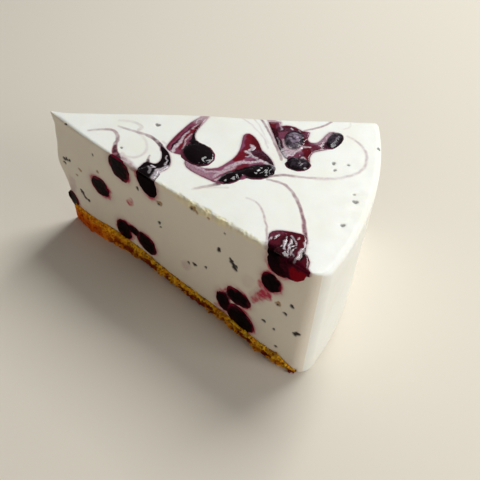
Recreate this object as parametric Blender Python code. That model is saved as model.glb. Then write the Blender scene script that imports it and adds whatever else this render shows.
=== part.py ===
"""A cut slice of baked berry cheesecake: filling, crumb crust, berries and jam pools.

The slice lies flat with its tip towards -X and its curved outer wall towards +X.
Lengths are metres. The origin is the middle of the slice's footprint, on its underside.
"""
import math

import bmesh
import bpy
from mathutils import Matrix, Vector, noise

MM = 0.001

# driving sizes of the slice
CAKE_RADIUS = 100 * MM
CAKE_HEIGHT = 47 * MM
SLICE_ANGLE = math.radians(37.5)
TIP_X = -49.24 * MM
GAP = 0.3 * MM

# edges and corners
RIM_ROUND = 1.6 * MM
KNIFE_ROUND = 0.4 * MM
NEAR_CORNER_ROUND = 4.5 * MM
FAR_CORNER_ROUND = 2.3 * MM
TIP_BLUNT = 0.8 * MM

# crust
CRUST_AT_TIP = 8.6 * MM
CRUST_AT_RIM = 4.9 * MM
CRUST_THINS_FROM = 18 * MM
CRUST_THINS_TO = 46 * MM
SKIRT = 3.0 * MM
CRUMB_RELIEF = 0.65 * MM
CRUMB_SIZE = 2.3 * MM

# jam pools and berries
POOL_DEPTH = 1.8 * MM
POOL_SPAN_STEPS = 2
BERRY_WRINKLE = 0.16
LEVELLED = 0.4 * MM

# Berries the knife went through. Each row, in millimetres and degrees: distance from the
# tip along the cut, height, half width, half height, tilt in the cut, and reach inwards.
NEAR_BERRIES = [
    (1.5, 10.7, 2.2, 3.2, 8, 2.2),
    (19.5, 28.0, 3.8, 3.7, 0, 3.9),
    (31.1, 43.0, 3.9, 4.3, 0, 3.9),
    (42.3, 44.4, 3.8, 5.6, 4, 4.4),
    (26.6, 12.7, 3.1, 4.6, -14, 3.4),
    (36.7, 13.1, 4.0, 4.5, 0, 4.0),
    (31.6, 15.6, 2.5, 2.0, 0, 3.0),
    (85.7, 35.0, 2.9, 3.4, 0, 3.4),
    (75.2, 18.7, 4.2, 3.3, 20, 3.8),
    (76.5, 9.0, 5.2, 5.0, 0, 4.6),
    (69.2, 11.6, 2.7, 4.0, 0, 3.2),
    (87.4, 43.6, 3.9, 4.5, 0, 5.0),
]
FAR_BERRIES = [
    (13.0, 31.5, 3.3, 3.6, 0, 3.0),
    (24.5, 15.0, 4.0, 3.7, 12, 3.8),
    (38.0, 36.0, 3.9, 3.4, 0, 3.8),
    (53.0, 23.0, 3.5, 4.2, 15, 3.9),
    (64.0, 9.6, 4.5, 4.1, 0, 4.2),
    (70.5, 42.4, 3.7, 5.2, 0, 4.4),
    (82.5, 27.0, 3.4, 3.4, 0, 3.6),
    (90.5, 13.5, 2.9, 3.3, -10, 3.2),
]

# Berries that show on top. Each row, in millimetres and degrees: distance from the tip
# along X, place across, half length and half width where they leave the top, turn,
# height above the top, and depth of the middle below it.
TOP_BERRIES = [
    (49.1, -1.4, 5.2, 4.1, -35, 1.0, 1.6),
    (67.9, -2.1, 4.3, 2.6, 32, 0.9, 1.4),
    (61.6, -7.0, 3.1, 1.8, 50, 0.5, 1.4),
    (73.0, 14.6, 4.0, 2.6, 100, 0.6, 1.5),
    (84.2, 18.8, 3.8, 1.9, 80, 0.8, 1.3),
    (77.1, 4.8, 3.1, 2.4, 15, 0.7, 1.4),
]

# Jam pools let into the top. Each outline runs through its points in a smooth closed
# curve. Points are millimetres: distance from the tip along X, and place across.
# A point past a knife cut carries the jam to the cut, where it is trimmed.
POOLS = {
    "jam_ribbon": [
        (39.8, -1.0), (40.2, 3.0), (41.0, 7.0), (42.0, 11.0), (43.4, 14.0), (44.2, 17.5),
        (45.8, 17.5), (45.2, 11.5), (44.9, 8.0), (45.5, 5.0), (48.0, 1.6), (47.6, -2.4),
        (44.6, -3.4), (42.0, -3.3), (40.2, -2.4)],
    "jam_band": [
        (47.2, -5.4), (48.6, -7.6), (52.0, -9.0), (56.0, -9.9), (59.4, -10.2), (61.3, -7.6),
        (64.6, -3.2), (69.0, -2.4), (71.0, -1.2), (71.2, 0.8), (70.2, 3.0), (68.0, 5.2),
        (65.6, 6.8), (64.0, 9.2), (61.8, 11.5), (59.8, 12.4), (58.7, 11.2), (59.3, 8.0),
        (59.9, 4.5), (59.6, 1.0), (58.4, -2.0), (56.8, -4.8), (53.5, -6.4), (50.0, -6.2)],
    "jam_star": [
        (62.2, 23.0), (66.4, 24.0), (67.0, 19.4), (69.0, 20.2), (71.5, 20.4), (74.0, 19.4),
        (76.2, 19.6), (76.4, 16.6), (77.8, 15.2), (79.8, 16.0), (80.8, 18.6), (81.8, 21.8),
        (83.8, 22.4), (84.8, 21.6), (85.0, 19.8), (84.6, 17.0), (83.8, 14.9), (81.2, 12.9),
        (79.5, 11.2), (79.3, 8.4), (80.3, 5.5), (79.3, 3.6), (77.4, 3.4), (75.6, 3.4),
        (75.2, 4.8), (75.0, 6.6), (73.0, 6.2), (70.9, 8.4), (68.8, 11.6), (66.6, 15.0),
        (64.4, 18.4)],
    "jam_crescent": [
        (38.2, -2.2), (41.0, -3.8), (43.0, -6.4), (43.9, -9.0), (43.3, -11.2), (42.2, -13.0),
        (42.4, -18.0), (36.0, -17.0), (36.6, -12.0), (37.4, -9.8), (39.4, -9.9), (40.6, -9.0),
        (40.7, -7.0), (39.8, -4.8)],
    "jam_spill": [
        (77.9, -22.6), (79.2, -21.0), (82.0, -20.2), (85.5, -19.9), (86.9, -20.6),
        (87.5, -23.0), (87.9, -26.0), (88.4, -28.4), (91.0, -31.0), (91.0, -35.0),
        (79.6, -33.0), (79.5, -29.0), (78.6, -25.5)],
}
# The spill runs down the near cut: distance from the tip, height, half width, half height,
# tilt, and reach inwards.
SPILL_DRIP = (90.6, 45.6, 4.6, 5.4, 0, 4.4)

# how finely the solids are divided
SIDE_STEPS = 24
ARC_STEPS = 14
CORNER_STEPS = 3
CRUST_STEPS = 54
CRUST_ROWS = 5
POCKET_STEPS = 40
BERRY_SEGMENTS = 12
BERRY_RINGS = 7

NEAR, FAR = -1, 1
HALF = SLICE_ANGLE / 2


def clear_scene():
    for thing in list(bpy.data.objects):
        bpy.data.objects.remove(thing, do_unlink=True)


def food_material(name, colour, roughness, coat=0.0):
    made = bpy.data.materials.new(name)
    made.use_nodes = True
    shader = made.node_tree.nodes["Principled BSDF"]
    shader.inputs["Base Color"].default_value = (*colour, 1.0)
    shader.inputs["Roughness"].default_value = roughness
    shader.inputs["Metallic"].default_value = 0.0
    shader.inputs["Coat Weight"].default_value = coat
    made.diffuse_color = (*colour, 1.0)
    return made


def add_object(name, bm, material=None):
    """Make a mesh object from a bmesh, at the origin, with its faces pointing out."""
    bmesh.ops.recalc_face_normals(bm, faces=bm.faces)
    mesh = bpy.data.meshes.new(name)
    bm.to_mesh(mesh)
    bm.free()
    made = bpy.data.objects.new(name, mesh)
    bpy.context.scene.collection.objects.link(made)
    if material:
        mesh.materials.append(material)
    return made


def as_cutter(thing):
    thing.hide_render = True
    thing.display_type = 'WIRE'
    return thing


def combine(target, tool, operation):
    """Put an exact Boolean on the target."""
    modifier = target.modifiers.new(f"{operation.lower()}_{tool.name}", 'BOOLEAN')
    modifier.operation = operation
    modifier.solver = 'EXACT'
    modifier.object = tool


def carve(target, pockets):
    """Take all the pockets out at once. They run into each other, which MANIFOLD joins cleanly."""
    group = bpy.data.collections.new(f"pockets_of_{target.name}")
    bpy.context.scene.collection.children.link(group)
    for pocket in pockets:
        group.objects.link(pocket)
    modifier = target.modifiers.new("pockets", 'BOOLEAN')
    modifier.operation = 'DIFFERENCE'
    modifier.solver = 'MANIFOLD'
    modifier.operand_type = 'COLLECTION'
    modifier.collection = group


def bump(value, centre, width):
    """A smooth hill of height 1 at centre."""
    return math.exp(-((value - centre) / width) ** 2)


def ease(value):
    """0 to 1 with a smooth start and end."""
    value = min(max(value, 0.0), 1.0)
    return value * value * (3 - 2 * value)


# The two knife cuts start at the tip. A place on a cut is its distance from the tip and its height.

def along_cut(side, distance):
    return Vector((TIP_X + distance * math.cos(HALF), side * distance * math.sin(HALF), 0.0))


def out_of_cut(side):
    return Vector((-math.sin(HALF), side * math.cos(HALF), 0.0))


def outward(side):
    """Direction from the tip along a cut, which is also the outer wall's normal there."""
    return Vector((math.cos(HALF), side * math.sin(HALF), 0.0))


def cut_bow(side, distance, height):
    """How far a knife cut stands proud of a flat plane: the cake sagged and the knife wandered."""
    s = distance / CAKE_RADIUS
    h = height / CAKE_HEIGHT
    if side == NEAR:
        top = 5.6 * MM * s * (1 - s) * (1.9 - 1.8 * s)
        bottom = (0.9 * bump(s, 0.10, 0.08) - 0.8 * bump(s, 0.37, 0.14) + 1.7 * bump(s, 0.86, 0.12)) * MM
    else:
        top = 0.7 * MM * bump(s, 0.45, 0.25)
        bottom = (1.1 * bump(s, 0.80, 0.18) - 0.5 * bump(s, 0.25, 0.12)) * MM
    return top * h + bottom * (1 - h)


def tip_lean(distance, height):
    """The tip swells towards mid height and draws in just under its top lip."""
    swell = 1.8 * MM * bump(height, 27 * MM, 7 * MM) - 0.5 * MM * bump(height, 42.5 * MM, 2.5 * MM)
    return swell * math.exp(-distance / (7 * MM))


def rounding(height, radius):
    """How far an edge of this radius has drawn in at a height near the top."""
    into = height - (CAKE_HEIGHT - radius)
    if into <= 0:
        return 0.0
    return radius - math.sqrt(max(radius * radius - into * into, 0.0))


def slice_ring(height):
    """The slice's outline at one height, from the tip along the near cut and round."""
    edge = rounding(height, KNIFE_ROUND)
    rim = rounding(height, RIM_ROUND)
    corner_round = {NEAR: NEAR_CORNER_ROUND, FAR: FAR_CORNER_ROUND}

    def on_cut(side, distance):
        place = along_cut(side, distance) + out_of_cut(side) * (cut_bow(side, distance, height) - edge)
        place.x -= tip_lean(distance, height)
        return place

    def cut_points(side):
        run = CAKE_RADIUS - corner_round[side] - TIP_BLUNT
        return [on_cut(side, TIP_BLUNT + run * i / SIDE_STEPS) for i in range(SIDE_STEPS + 1)]

    def corner_points(side):
        radius = corner_round[side]
        last = CAKE_RADIUS - radius
        centre = along_cut(side, last) - out_of_cut(side) * radius
        points = []
        for k in range(1, CORNER_STEPS):
            turn = math.radians(90) * k / CORNER_STEPS
            reach = radius - edge * math.cos(turn) - rim * math.sin(turn)
            bow = cut_bow(side, last, height) * math.cos(turn)
            way = out_of_cut(side) * math.cos(turn) + outward(side) * math.sin(turn)
            points.append(centre + way * reach + out_of_cut(side) * bow)
        return points

    def wall_points():
        start = -HALF + NEAR_CORNER_ROUND / CAKE_RADIUS
        end = HALF - FAR_CORNER_ROUND / CAKE_RADIUS
        points = []
        for i in range(ARC_STEPS + 1):
            a = start + (end - start) * i / ARC_STEPS
            reach = CAKE_RADIUS - rim
            points.append(Vector((TIP_X + reach * math.cos(a), reach * math.sin(a), 0.0)))
        return points

    tip = Vector((TIP_X + 0.35 * TIP_BLUNT - tip_lean(0.0, height), 0.0, 0.0))
    ring = [tip] + cut_points(NEAR) + corner_points(NEAR) + wall_points()
    ring += corner_points(FAR)[::-1] + cut_points(FAR)[::-1]
    return [Vector((p.x, p.y, height)) for p in ring]


def loft(rings):
    """Join outlines of equal length into a closed solid with flat ends."""
    bm = bmesh.new()
    levels = [[bm.verts.new(p) for p in ring] for ring in rings]
    count = len(rings[0])
    for lower, upper in zip(levels, levels[1:]):
        for i in range(count):
            j = (i + 1) % count
            bm.faces.new((lower[i], lower[j], upper[j], upper[i]))
    bm.faces.new(levels[0][::-1])
    bm.faces.new(levels[-1])
    return bm


def slice_body(name, material=None):
    """The whole slice as one solid, its rim and cut edges eased."""
    heights = [0, 5, 13, 19, 23, 27, 31, 37, 41, 43.5, 45.4, 46.5, 47]
    return add_object(name, loft([slice_ring(h * MM) for h in heights]), material)


def envelope(name):
    """The slice's sides carried straight up past its top, to trim what is cut with it."""
    heights = [-2, 0, 5, 13, 19, 23, 27, 31, 37, 41, 43.5, 45.4, 46.5, 52]
    rings = []
    for h in heights:
        ring = slice_ring(min(max(h, 0), 46.5) * MM)
        rings.append([Vector((p.x, p.y, h * MM)) for p in ring])
    return as_cutter(add_object(name, loft(rings)))


def crust_top(from_tip):
    """Height of the crust's upper face at a distance from the tip, measured along X."""
    thinned = ease((from_tip - CRUST_THINS_FROM) / (CRUST_THINS_TO - CRUST_THINS_FROM))
    return CRUST_AT_TIP + (CRUST_AT_RIM - CRUST_AT_TIP) * thinned


def crumb_relief(point, from_tip):
    """Crumbs stand out of the broken crust, and it draws in between them."""
    strength = CRUMB_RELIEF * ease(from_tip / (12 * MM))
    coarse = noise.noise(point / CRUMB_SIZE)
    fine = noise.noise(point / (0.45 * CRUMB_SIZE) + Vector((7.3, 1.1, 4.2)))
    return strength * (1.5 * coarse + 0.8 * fine)


def crust_solid(name, material):
    """The crumb base: rough where the knife broke it, smooth under the filling."""
    reach = CAKE_RADIUS - SKIRT - GAP
    first = 1.6 * MM
    stations = [first + (reach - first) * i / CRUST_STEPS for i in range(CRUST_STEPS + 1)]
    bm = bmesh.new()

    def side_column(side, distance):
        column = []
        base = along_cut(side, distance)
        top = crust_top(base.x - TIP_X)
        for row in range(CRUST_ROWS + 1):
            height = top * row / CRUST_ROWS
            seed = Vector((base.x, base.y, height))
            stands = cut_bow(side, distance, height) + crumb_relief(seed, distance)
            place = base + out_of_cut(side) * stands
            column.append(bm.verts.new((place.x, place.y, height)))
        return column

    def wall_column(angle):
        x = TIP_X + reach * math.cos(angle)
        top = crust_top(x - TIP_X)
        return [bm.verts.new((x, reach * math.sin(angle), top * row / CRUST_ROWS))
                for row in range(CRUST_ROWS + 1)]

    near = [side_column(NEAR, s) for s in stations]
    far = [side_column(FAR, s) for s in stations]
    wall = [wall_column(-HALF + SLICE_ANGLE * i / ARC_STEPS) for i in range(1, ARC_STEPS)]
    around = near + wall + far[::-1]
    for i, column in enumerate(around):
        following = around[(i + 1) % len(around)]
        for row in range(CRUST_ROWS):
            bm.faces.new((column[row], following[row], following[row + 1], column[row + 1]))
    for i in range(CRUST_STEPS):
        bm.faces.new((near[i][-1], near[i + 1][-1], far[i + 1][-1], far[i][-1]))
    bm.faces.new([c[-1] for c in [near[-1]] + wall + [far[-1]]])
    bm.faces.new([c[0] for c in around][::-1])
    return add_object(name, bm, material)


def crust_pocket(name):
    """The room the crust takes out of the filling, open at the knife cuts and below."""
    reach = CAKE_RADIUS - SKIRT
    beyond = 7 * MM
    spread = HALF + beyond / reach
    last = reach * math.cos(spread) - 1 * MM
    bm = bmesh.new()

    def pair(x, y, top):
        low = bm.verts.new((x, y, -3 * MM))
        high = bm.verts.new((x, y, top + GAP))
        return low, high

    def row(side):
        places = [-beyond] + [last * i / POCKET_STEPS for i in range(POCKET_STEPS + 1)]
        return [pair(TIP_X + u, side * (u * math.tan(HALF) + beyond / math.cos(HALF)), crust_top(u))
                for u in places]

    def wall_pair(angle):
        x, y = reach * math.cos(angle), reach * math.sin(angle)
        return pair(TIP_X + x, y, crust_top(x))

    near, far = row(NEAR), row(FAR)
    wall = [wall_pair(spread * (2 * i / ARC_STEPS - 1)) for i in range(ARC_STEPS + 1)]
    around = near + wall + far[::-1]
    for i, (low, high) in enumerate(around):
        next_low, next_high = around[(i + 1) % len(around)]
        bm.faces.new((low, next_low, next_high, high))
    for i in range(len(near) - 1):
        bm.faces.new((near[i][1], near[i + 1][1], far[i + 1][1], far[i][1]))
    bm.faces.new([high for low, high in [near[-1]] + wall + [far[-1]]])
    bm.faces.new([low for low, high in around][::-1])
    return as_cutter(add_object(name, bm))


def berry_mesh(radii, wrinkle, seed, grow):
    """A soft round berry: a ball pressed out of true, and swollen all over by grow."""
    bm = bmesh.new()
    bmesh.ops.create_uvsphere(bm, u_segments=BERRY_SEGMENTS, v_segments=BERRY_RINGS, radius=1.0)
    shift = Vector((seed * 3.7, seed * 1.9, seed * 5.3))
    for vert in bm.verts:
        way = vert.co.normalized()
        uneven = 1.0 + wrinkle * noise.noise(way * 1.3 + shift)
        vert.co = Vector([w * (r * uneven + grow) for w, r in zip(way, radii)])
    return bm


def place_ball(bm, centre, across, up):
    """Turn a ball made at the origin so that its X and Y run across and up."""
    turn = Matrix((across, up, across.cross(up))).transposed().to_4x4()
    bmesh.ops.transform(bm, matrix=Matrix.Translation(centre) @ turn, verts=bm.verts)


def cut_ball(side, row, seed, wrinkle, grow):
    """A ball whose middle lies on a knife cut, levelled where it comes through the top."""
    distance, height, half_wide, half_high, tilt, reach = row
    distance, height = distance * MM, height * MM
    bm = berry_mesh((half_wide * MM, half_high * MM, reach * MM), wrinkle, seed, grow)
    centre = along_cut(side, distance) + out_of_cut(side) * cut_bow(side, distance, height)
    centre += Vector((-tip_lean(distance, height), 0, height))
    angle = math.radians(tilt)
    along, upright = outward(side), Vector((0, 0, 1))
    across = along * math.cos(angle) + upright * math.sin(angle)
    up = upright * math.cos(angle) - along * math.sin(angle)
    place_ball(bm, centre, across, up)
    for vert in bm.verts:
        vert.co.z = min(vert.co.z, CAKE_HEIGHT + LEVELLED + grow)
    return bm


def top_ball(row, seed, wrinkle, grow):
    """A ball sunk in the top, with the stated outline where it comes through."""
    from_tip, place_across, half_long, half_wide, turn, dome, sink = row
    rise = (dome + sink) * MM
    fuller = 1 / math.sqrt(1 - (sink / (dome + sink)) ** 2)
    radii = (half_long * fuller * MM, half_wide * fuller * MM, rise)
    bm = berry_mesh(radii, wrinkle, seed, grow)
    angle = math.radians(turn)
    across = Vector((math.cos(angle), math.sin(angle), 0))
    up = Vector((-math.sin(angle), math.cos(angle), 0))
    centre = Vector((TIP_X + from_tip * MM, place_across * MM, CAKE_HEIGHT - sink * MM))
    place_ball(bm, centre, across, up)
    return bm


def smooth_loop(points, grow):
    """A closed curve through the points, moved out by grow."""
    corners = [Vector((TIP_X + x * MM, y * MM)) for x, y in points]
    count = len(corners)
    curve = []
    for i in range(count):
        a, b, c, d = [corners[(i + k) % count] for k in (-1, 0, 1, 2)]
        for step in range(POOL_SPAN_STEPS):
            t = step / POOL_SPAN_STEPS
            curve.append(0.5 * (2 * b + (c - a) * t + (2 * a - 5 * b + 4 * c - d) * t * t
                                + (3 * b - a - 3 * c + d) * t ** 3))
    area = sum(p.cross(q) for p, q in zip(curve, curve[1:] + curve[:1]))
    if area < 0:
        curve.reverse()
    moved = []
    for before, here, after in zip(curve[-1:] + curve[:-1], curve, curve[1:] + curve[:1]):
        run = (after - before).normalized()
        moved.append(here + Vector((run.y, -run.x)) * grow)
    return moved


def pool_solid(points, bottom, top, grow):
    outline = smooth_loop(points, grow)
    return loft([[Vector((p.x, p.y, z)) for p in outline] for z in (bottom, top)])


def trim_to_slice(thing, sides):
    combine(thing, sides, 'INTERSECT')


def make_berries(sides, skin):
    """All the berries, each trimmed to the slice and cut back from those made before it."""
    rows = [(f"berry_near_{i + 1}", cut_ball, (NEAR, row)) for i, row in enumerate(NEAR_BERRIES)]
    rows += [(f"berry_far_{i + 1}", cut_ball, (FAR, row)) for i, row in enumerate(FAR_BERRIES)]
    rows += [(f"berry_top_{i + 1}", top_ball, (row,)) for i, row in enumerate(TOP_BERRIES)]
    pockets = []
    for seed, (name, shape, place) in enumerate(rows):
        berry = add_object(name, shape(*place, seed, BERRY_WRINKLE, 0.0), skin)
        trim_to_slice(berry, sides)
        pocket = as_cutter(add_object(f"pocket_{name}", shape(*place, seed, BERRY_WRINKLE, GAP)))
        in_the_way = [earlier for earlier in pockets if boxes_meet(earlier, pocket)]
        if in_the_way:
            carve(berry, in_the_way)
        pockets.append(pocket)
    return pockets


def box_of(thing):
    places = [v.co for v in thing.data.vertices]
    low = Vector([min(p[k] for p in places) for k in range(3)])
    high = Vector([max(p[k] for p in places) for k in range(3)])
    return low, high


def boxes_meet(one, other):
    (low_a, high_a), (low_b, high_b) = box_of(one), box_of(other)
    return all(low_a[k] < high_b[k] and low_b[k] < high_a[k] for k in range(3))


def make_pools(sides, berry_pockets, jam):
    """The jam pools, level with the top, and the room each takes out of the filling."""
    pockets = []
    for name, points in POOLS.items():
        pool = add_object(name, pool_solid(points, CAKE_HEIGHT - POOL_DEPTH, CAKE_HEIGHT, 0.0), jam)
        room = pool_solid(points, CAKE_HEIGHT - POOL_DEPTH - GAP, CAKE_HEIGHT + 3 * MM, GAP)
        room = as_cutter(add_object(f"pocket_{name}", room))
        pockets.append(room)
        if name == "jam_spill":
            drip = as_cutter(add_object("drip", cut_ball(NEAR, SPILL_DRIP, 3, 0.0, 0.0)))
            combine(drip, lid("drip_lid", CAKE_HEIGHT), 'INTERSECT')
            combine(pool, drip, 'UNION')
            drip_room = cut_ball(NEAR, SPILL_DRIP, 3, 0.0, GAP)
            pockets.append(as_cutter(add_object("pocket_drip", drip_room)))
        trim_to_slice(pool, sides)
        carve(pool, [pocket for pocket in berry_pockets if boxes_meet(pool, pocket)])
    return pockets


def lid(name, height):
    """A block that holds everything below a height."""
    bm = bmesh.new()
    bmesh.ops.create_cube(bm, size=1.0)
    scale = Vector((0.3, 0.3, 0.1))
    for vert in bm.verts:
        vert.co = Vector([c * s for c, s in zip(vert.co, scale)])
        vert.co.z += height - scale.z / 2
    return as_cutter(add_object(name, bm))


def make_cheesecake():
    clear_scene()
    cream = food_material("baked_filling", (0.90, 0.87, 0.78), 0.45)
    crumb = food_material("crumb_crust", (0.55, 0.32, 0.09), 0.85)
    skin = food_material("berry_skin", (0.035, 0.012, 0.03), 0.28, 0.4)
    jam = food_material("berry_jam", (0.22, 0.02, 0.05), 0.2, 0.5)

    sides = envelope("slice_sides")
    berry_pockets = make_berries(sides, skin)
    pool_pockets = make_pools(sides, berry_pockets, jam)

    crust = crust_solid("crust", crumb)
    filling = slice_body("filling", cream)
    carve(crust, [pocket for pocket in berry_pockets if boxes_meet(crust, pocket)])
    carve(filling, [crust_pocket("pocket_crust")] + berry_pockets + pool_pockets)


make_cheesecake()
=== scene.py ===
# %% [markdown]
# # A slice of berry cheesecake
# The real slice is pale set filling on a thin crumb crust. Whole berries sit in the filling,
# and the knife went through some of them. Berry jam was drawn through the top with a skewer.
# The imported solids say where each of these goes. Nearly every piece below is made round
# one or a few of them, and then stands for them.

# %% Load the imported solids
import math

import bpy
import numpy as np
from mathutils import Matrix, Vector, noise
from mathutils.bvhtree import BVHTree


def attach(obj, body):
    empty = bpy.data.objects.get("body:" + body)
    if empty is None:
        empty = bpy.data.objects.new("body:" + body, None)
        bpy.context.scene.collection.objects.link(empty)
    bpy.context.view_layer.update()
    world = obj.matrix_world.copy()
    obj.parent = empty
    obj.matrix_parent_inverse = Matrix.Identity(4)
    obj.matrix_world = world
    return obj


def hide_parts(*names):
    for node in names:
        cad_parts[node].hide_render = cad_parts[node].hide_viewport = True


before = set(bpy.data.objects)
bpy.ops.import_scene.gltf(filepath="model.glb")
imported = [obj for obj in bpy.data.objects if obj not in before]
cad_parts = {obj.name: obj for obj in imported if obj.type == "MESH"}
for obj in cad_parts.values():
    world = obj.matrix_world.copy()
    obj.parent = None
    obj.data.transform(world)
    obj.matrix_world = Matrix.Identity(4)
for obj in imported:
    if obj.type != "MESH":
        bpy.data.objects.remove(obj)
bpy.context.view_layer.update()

print("solids loaded:", len(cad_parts))

# %% [markdown]
# ## Sizes
# The slice is a wedge cut from a round cake, so its sizes are the cake's radius and height
# and the angle of the wedge. They repeat the solids' sizes. Drawn marks are written in
# millimetres, as they would be measured on the cake with a ruler.

# %% Sizes of the slice
MM = 0.001
CAKE_RADIUS = 100 * MM
CAKE_HEIGHT = 47 * MM
SLICE_ANGLE = math.radians(37.5)
HALF = SLICE_ANGLE / 2
TIP_X = -49.24 * MM
RIM_ROUND = 1.6 * MM
KNIFE_ROUND = 0.4 * MM
RUN_OVER_ROUND = 2.5 * MM
NEAR_CORNER_ROUND = 4.5 * MM
FAR_CORNER_ROUND = 1.7 * MM
TIP_BLUNT = 0.8 * MM
CRUST_AT_TIP = 8.6 * MM
CRUST_AT_RIM = 4.9 * MM
SKIRT = 3.0 * MM
SKIRT_FROM = 95.1 * MM
NEAR, FAR = -1, 1
# along the near cut: where two pools run over its edge, and the middle of its ragged lip
SPILL_AT, CRESCENT_AT, LIP_AT = 87 * MM, 41 * MM, 64 * MM
print("slice:", round(CAKE_RADIUS / MM), "mm long,", round(CAKE_HEIGHT / MM), "mm high")

# %% [markdown]
# ## Camera
# The slice was looked at from above its long near cut, from the wide end. The camera is
# turned in three steps, as on a tripod head: round, down, and a small roll.

# %% Camera
CAMERA_AT = (53.454 * MM, -118.383 * MM, 158.422 * MM)
TURNED, LOOKS_DOWN, ROLLED = 18.81, 49.18, 2.018
LENS, SENSOR = 44.39, 36

bpy.ops.object.camera_add(location=CAMERA_AT)
camera = bpy.context.object
turned = Matrix.Rotation(math.radians(TURNED), 3, 'Z')
tilted = Matrix.Rotation(math.radians(90 - LOOKS_DOWN), 3, 'X')
rolled = Matrix.Rotation(math.radians(ROLLED), 3, 'Z')
camera.rotation_euler = (turned @ tilted @ rolled).to_euler()
camera.data.lens = LENS
camera.data.sensor_width = SENSOR
camera.data.clip_start = 0.01
bpy.context.scene.camera = camera
print("camera looks along", [round(c, 3) for c in (turned @ tilted @ rolled) @ Vector((0, 0, -1))])

# %% [markdown]
# ## Floor and light
# A big soft light on the right and a window-like light behind brighten the top and the
# outer wall. The near cut turns away from both, and only light from the floor reaches it.
# That soft shade is what makes the slice look tall.

# %% Floor and light
bpy.ops.mesh.primitive_plane_add(size=4.0)
floor = bpy.context.object
floor.name = "floor"
pale = bpy.data.materials.new("pale_floor")
pale.use_nodes = True
paint = pale.node_tree.nodes["Principled BSDF"].inputs
paint["Base Color"].default_value = (0.74, 0.68, 0.59, 1)
paint["Roughness"].default_value = 0.9
floor.data.materials.append(pale)


def soft_light(name, place, width, watts, colour):
    """A square light that faces the slice."""
    bpy.ops.object.light_add(type='AREA', location=place)
    lamp = bpy.context.object
    lamp.name = name
    aim = Vector((0, 0, 0.03)) - Vector(place)
    lamp.rotation_euler = aim.to_track_quat('-Z', 'Y').to_euler()
    lamp.data.size = width
    lamp.data.energy = watts
    lamp.data.color = colour
    return lamp


soft_light("light_right", (0.54, -0.09, 0.27), 0.32, 1.62, (1.0, 0.99, 0.965))
soft_light("light_behind", (0.17, 0.40, 0.66), 0.36, 4.4, (0.97, 1.0, 0.98))
soft_light("light_glint", (0.06, 0.46, 0.42), 0.09, 0.30, (1.0, 1.0, 1.0))
soft_light("light_front", (-0.16, -0.60, 0.26), 0.5, 0.45, (1.0, 0.86, 0.68))
world = bpy.data.worlds.new("soft_room")
world.use_nodes = True
world.node_tree.nodes["Background"].inputs["Color"].default_value = (0.95, 0.97, 1.0, 1)
world.node_tree.nodes["Background"].inputs["Strength"].default_value = 0.097
bpy.context.scene.world = world
bpy.context.scene.view_settings.view_transform = 'Standard'

# %% [markdown]
# ## Working by hand from code
# An operator acts on everything that is selected. These helpers select one piece or some
# of its faces and nothing else, and read or move its points.

# %% Helpers for selecting and moving


def only(piece):
    """Select one piece and nothing else."""
    bpy.ops.object.select_all(action='DESELECT')
    piece.select_set(True)
    bpy.context.view_layer.objects.active = piece


def edit_faces(piece, chosen=None):
    """Go into edit mode with some of a piece's faces selected, or all of them."""
    only(piece)
    mesh = piece.data
    if chosen is not None:
        mesh.vertices.foreach_set("select", np.zeros(len(mesh.vertices), bool))
        mesh.edges.foreach_set("select", np.zeros(len(mesh.edges), bool))
        mesh.polygons.foreach_set("select", np.asarray(chosen, bool))
    bpy.context.tool_settings.mesh_select_mode = (False, False, True)
    bpy.ops.object.mode_set(mode='EDIT')
    if chosen is None:
        bpy.ops.mesh.select_all(action='SELECT')


def stop_editing():
    bpy.ops.object.mode_set(mode='OBJECT')


def places_of(piece):
    flat = np.empty(len(piece.data.vertices) * 3)
    piece.data.vertices.foreach_get("co", flat)
    return flat.reshape(-1, 3)


def move_to(piece, places):
    piece.data.vertices.foreach_set("co", np.asarray(places, float).ravel())
    piece.data.update()


def face_middles(piece):
    flat = np.empty(len(piece.data.polygons) * 3)
    piece.data.polygons.foreach_get("center", flat)
    return flat.reshape(-1, 3)


def face_normals(piece):
    flat = np.empty(len(piece.data.polygons) * 3)
    piece.data.polygons.foreach_get("normal", flat)
    return flat.reshape(-1, 3)


def point_normals(piece):
    flat = np.empty(len(piece.data.vertices) * 3)
    piece.data.vertex_normals.foreach_get("vector", flat)
    return flat.reshape(-1, 3)


def lumps(places, size, shift=0.0):
    """Smooth noise from about -1 to 1, with lumps of this size."""
    away = Vector((shift, 1.7 * shift, 0.6 * shift))
    return np.array([noise.noise(Vector(p) / size + away) for p in places])


def triangles(piece):
    piece.data.calc_loop_triangles()
    return len(piece.data.loop_triangles)


# %% [markdown]
# ## How a soft cake sags
# A knife cut is never quite flat: the blade wanders and the cream settles outwards. The
# solids bow in the same way. All the pieces are made straight and then sagged together
# by one rule, so a cut berry stays level with the cream round it.

# %% The sag of the slice


def ease(value):
    value = np.clip(value, 0, 1)
    return value * value * (3 - 2 * value)


def hill(value, centre, width):
    return np.exp(-((value - centre) / width) ** 2)


def out_of_cut(side):
    """The way straight out of a cut. Side is one cut, or a cut for each point."""
    side = np.asarray(side)
    return np.stack([-math.sin(HALF) * np.ones(side.shape), side * math.cos(HALF),
                     np.zeros(side.shape)], axis=-1)


def along_cut(side):
    return np.array((math.cos(HALF), side * math.sin(HALF), 0.0))


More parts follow.
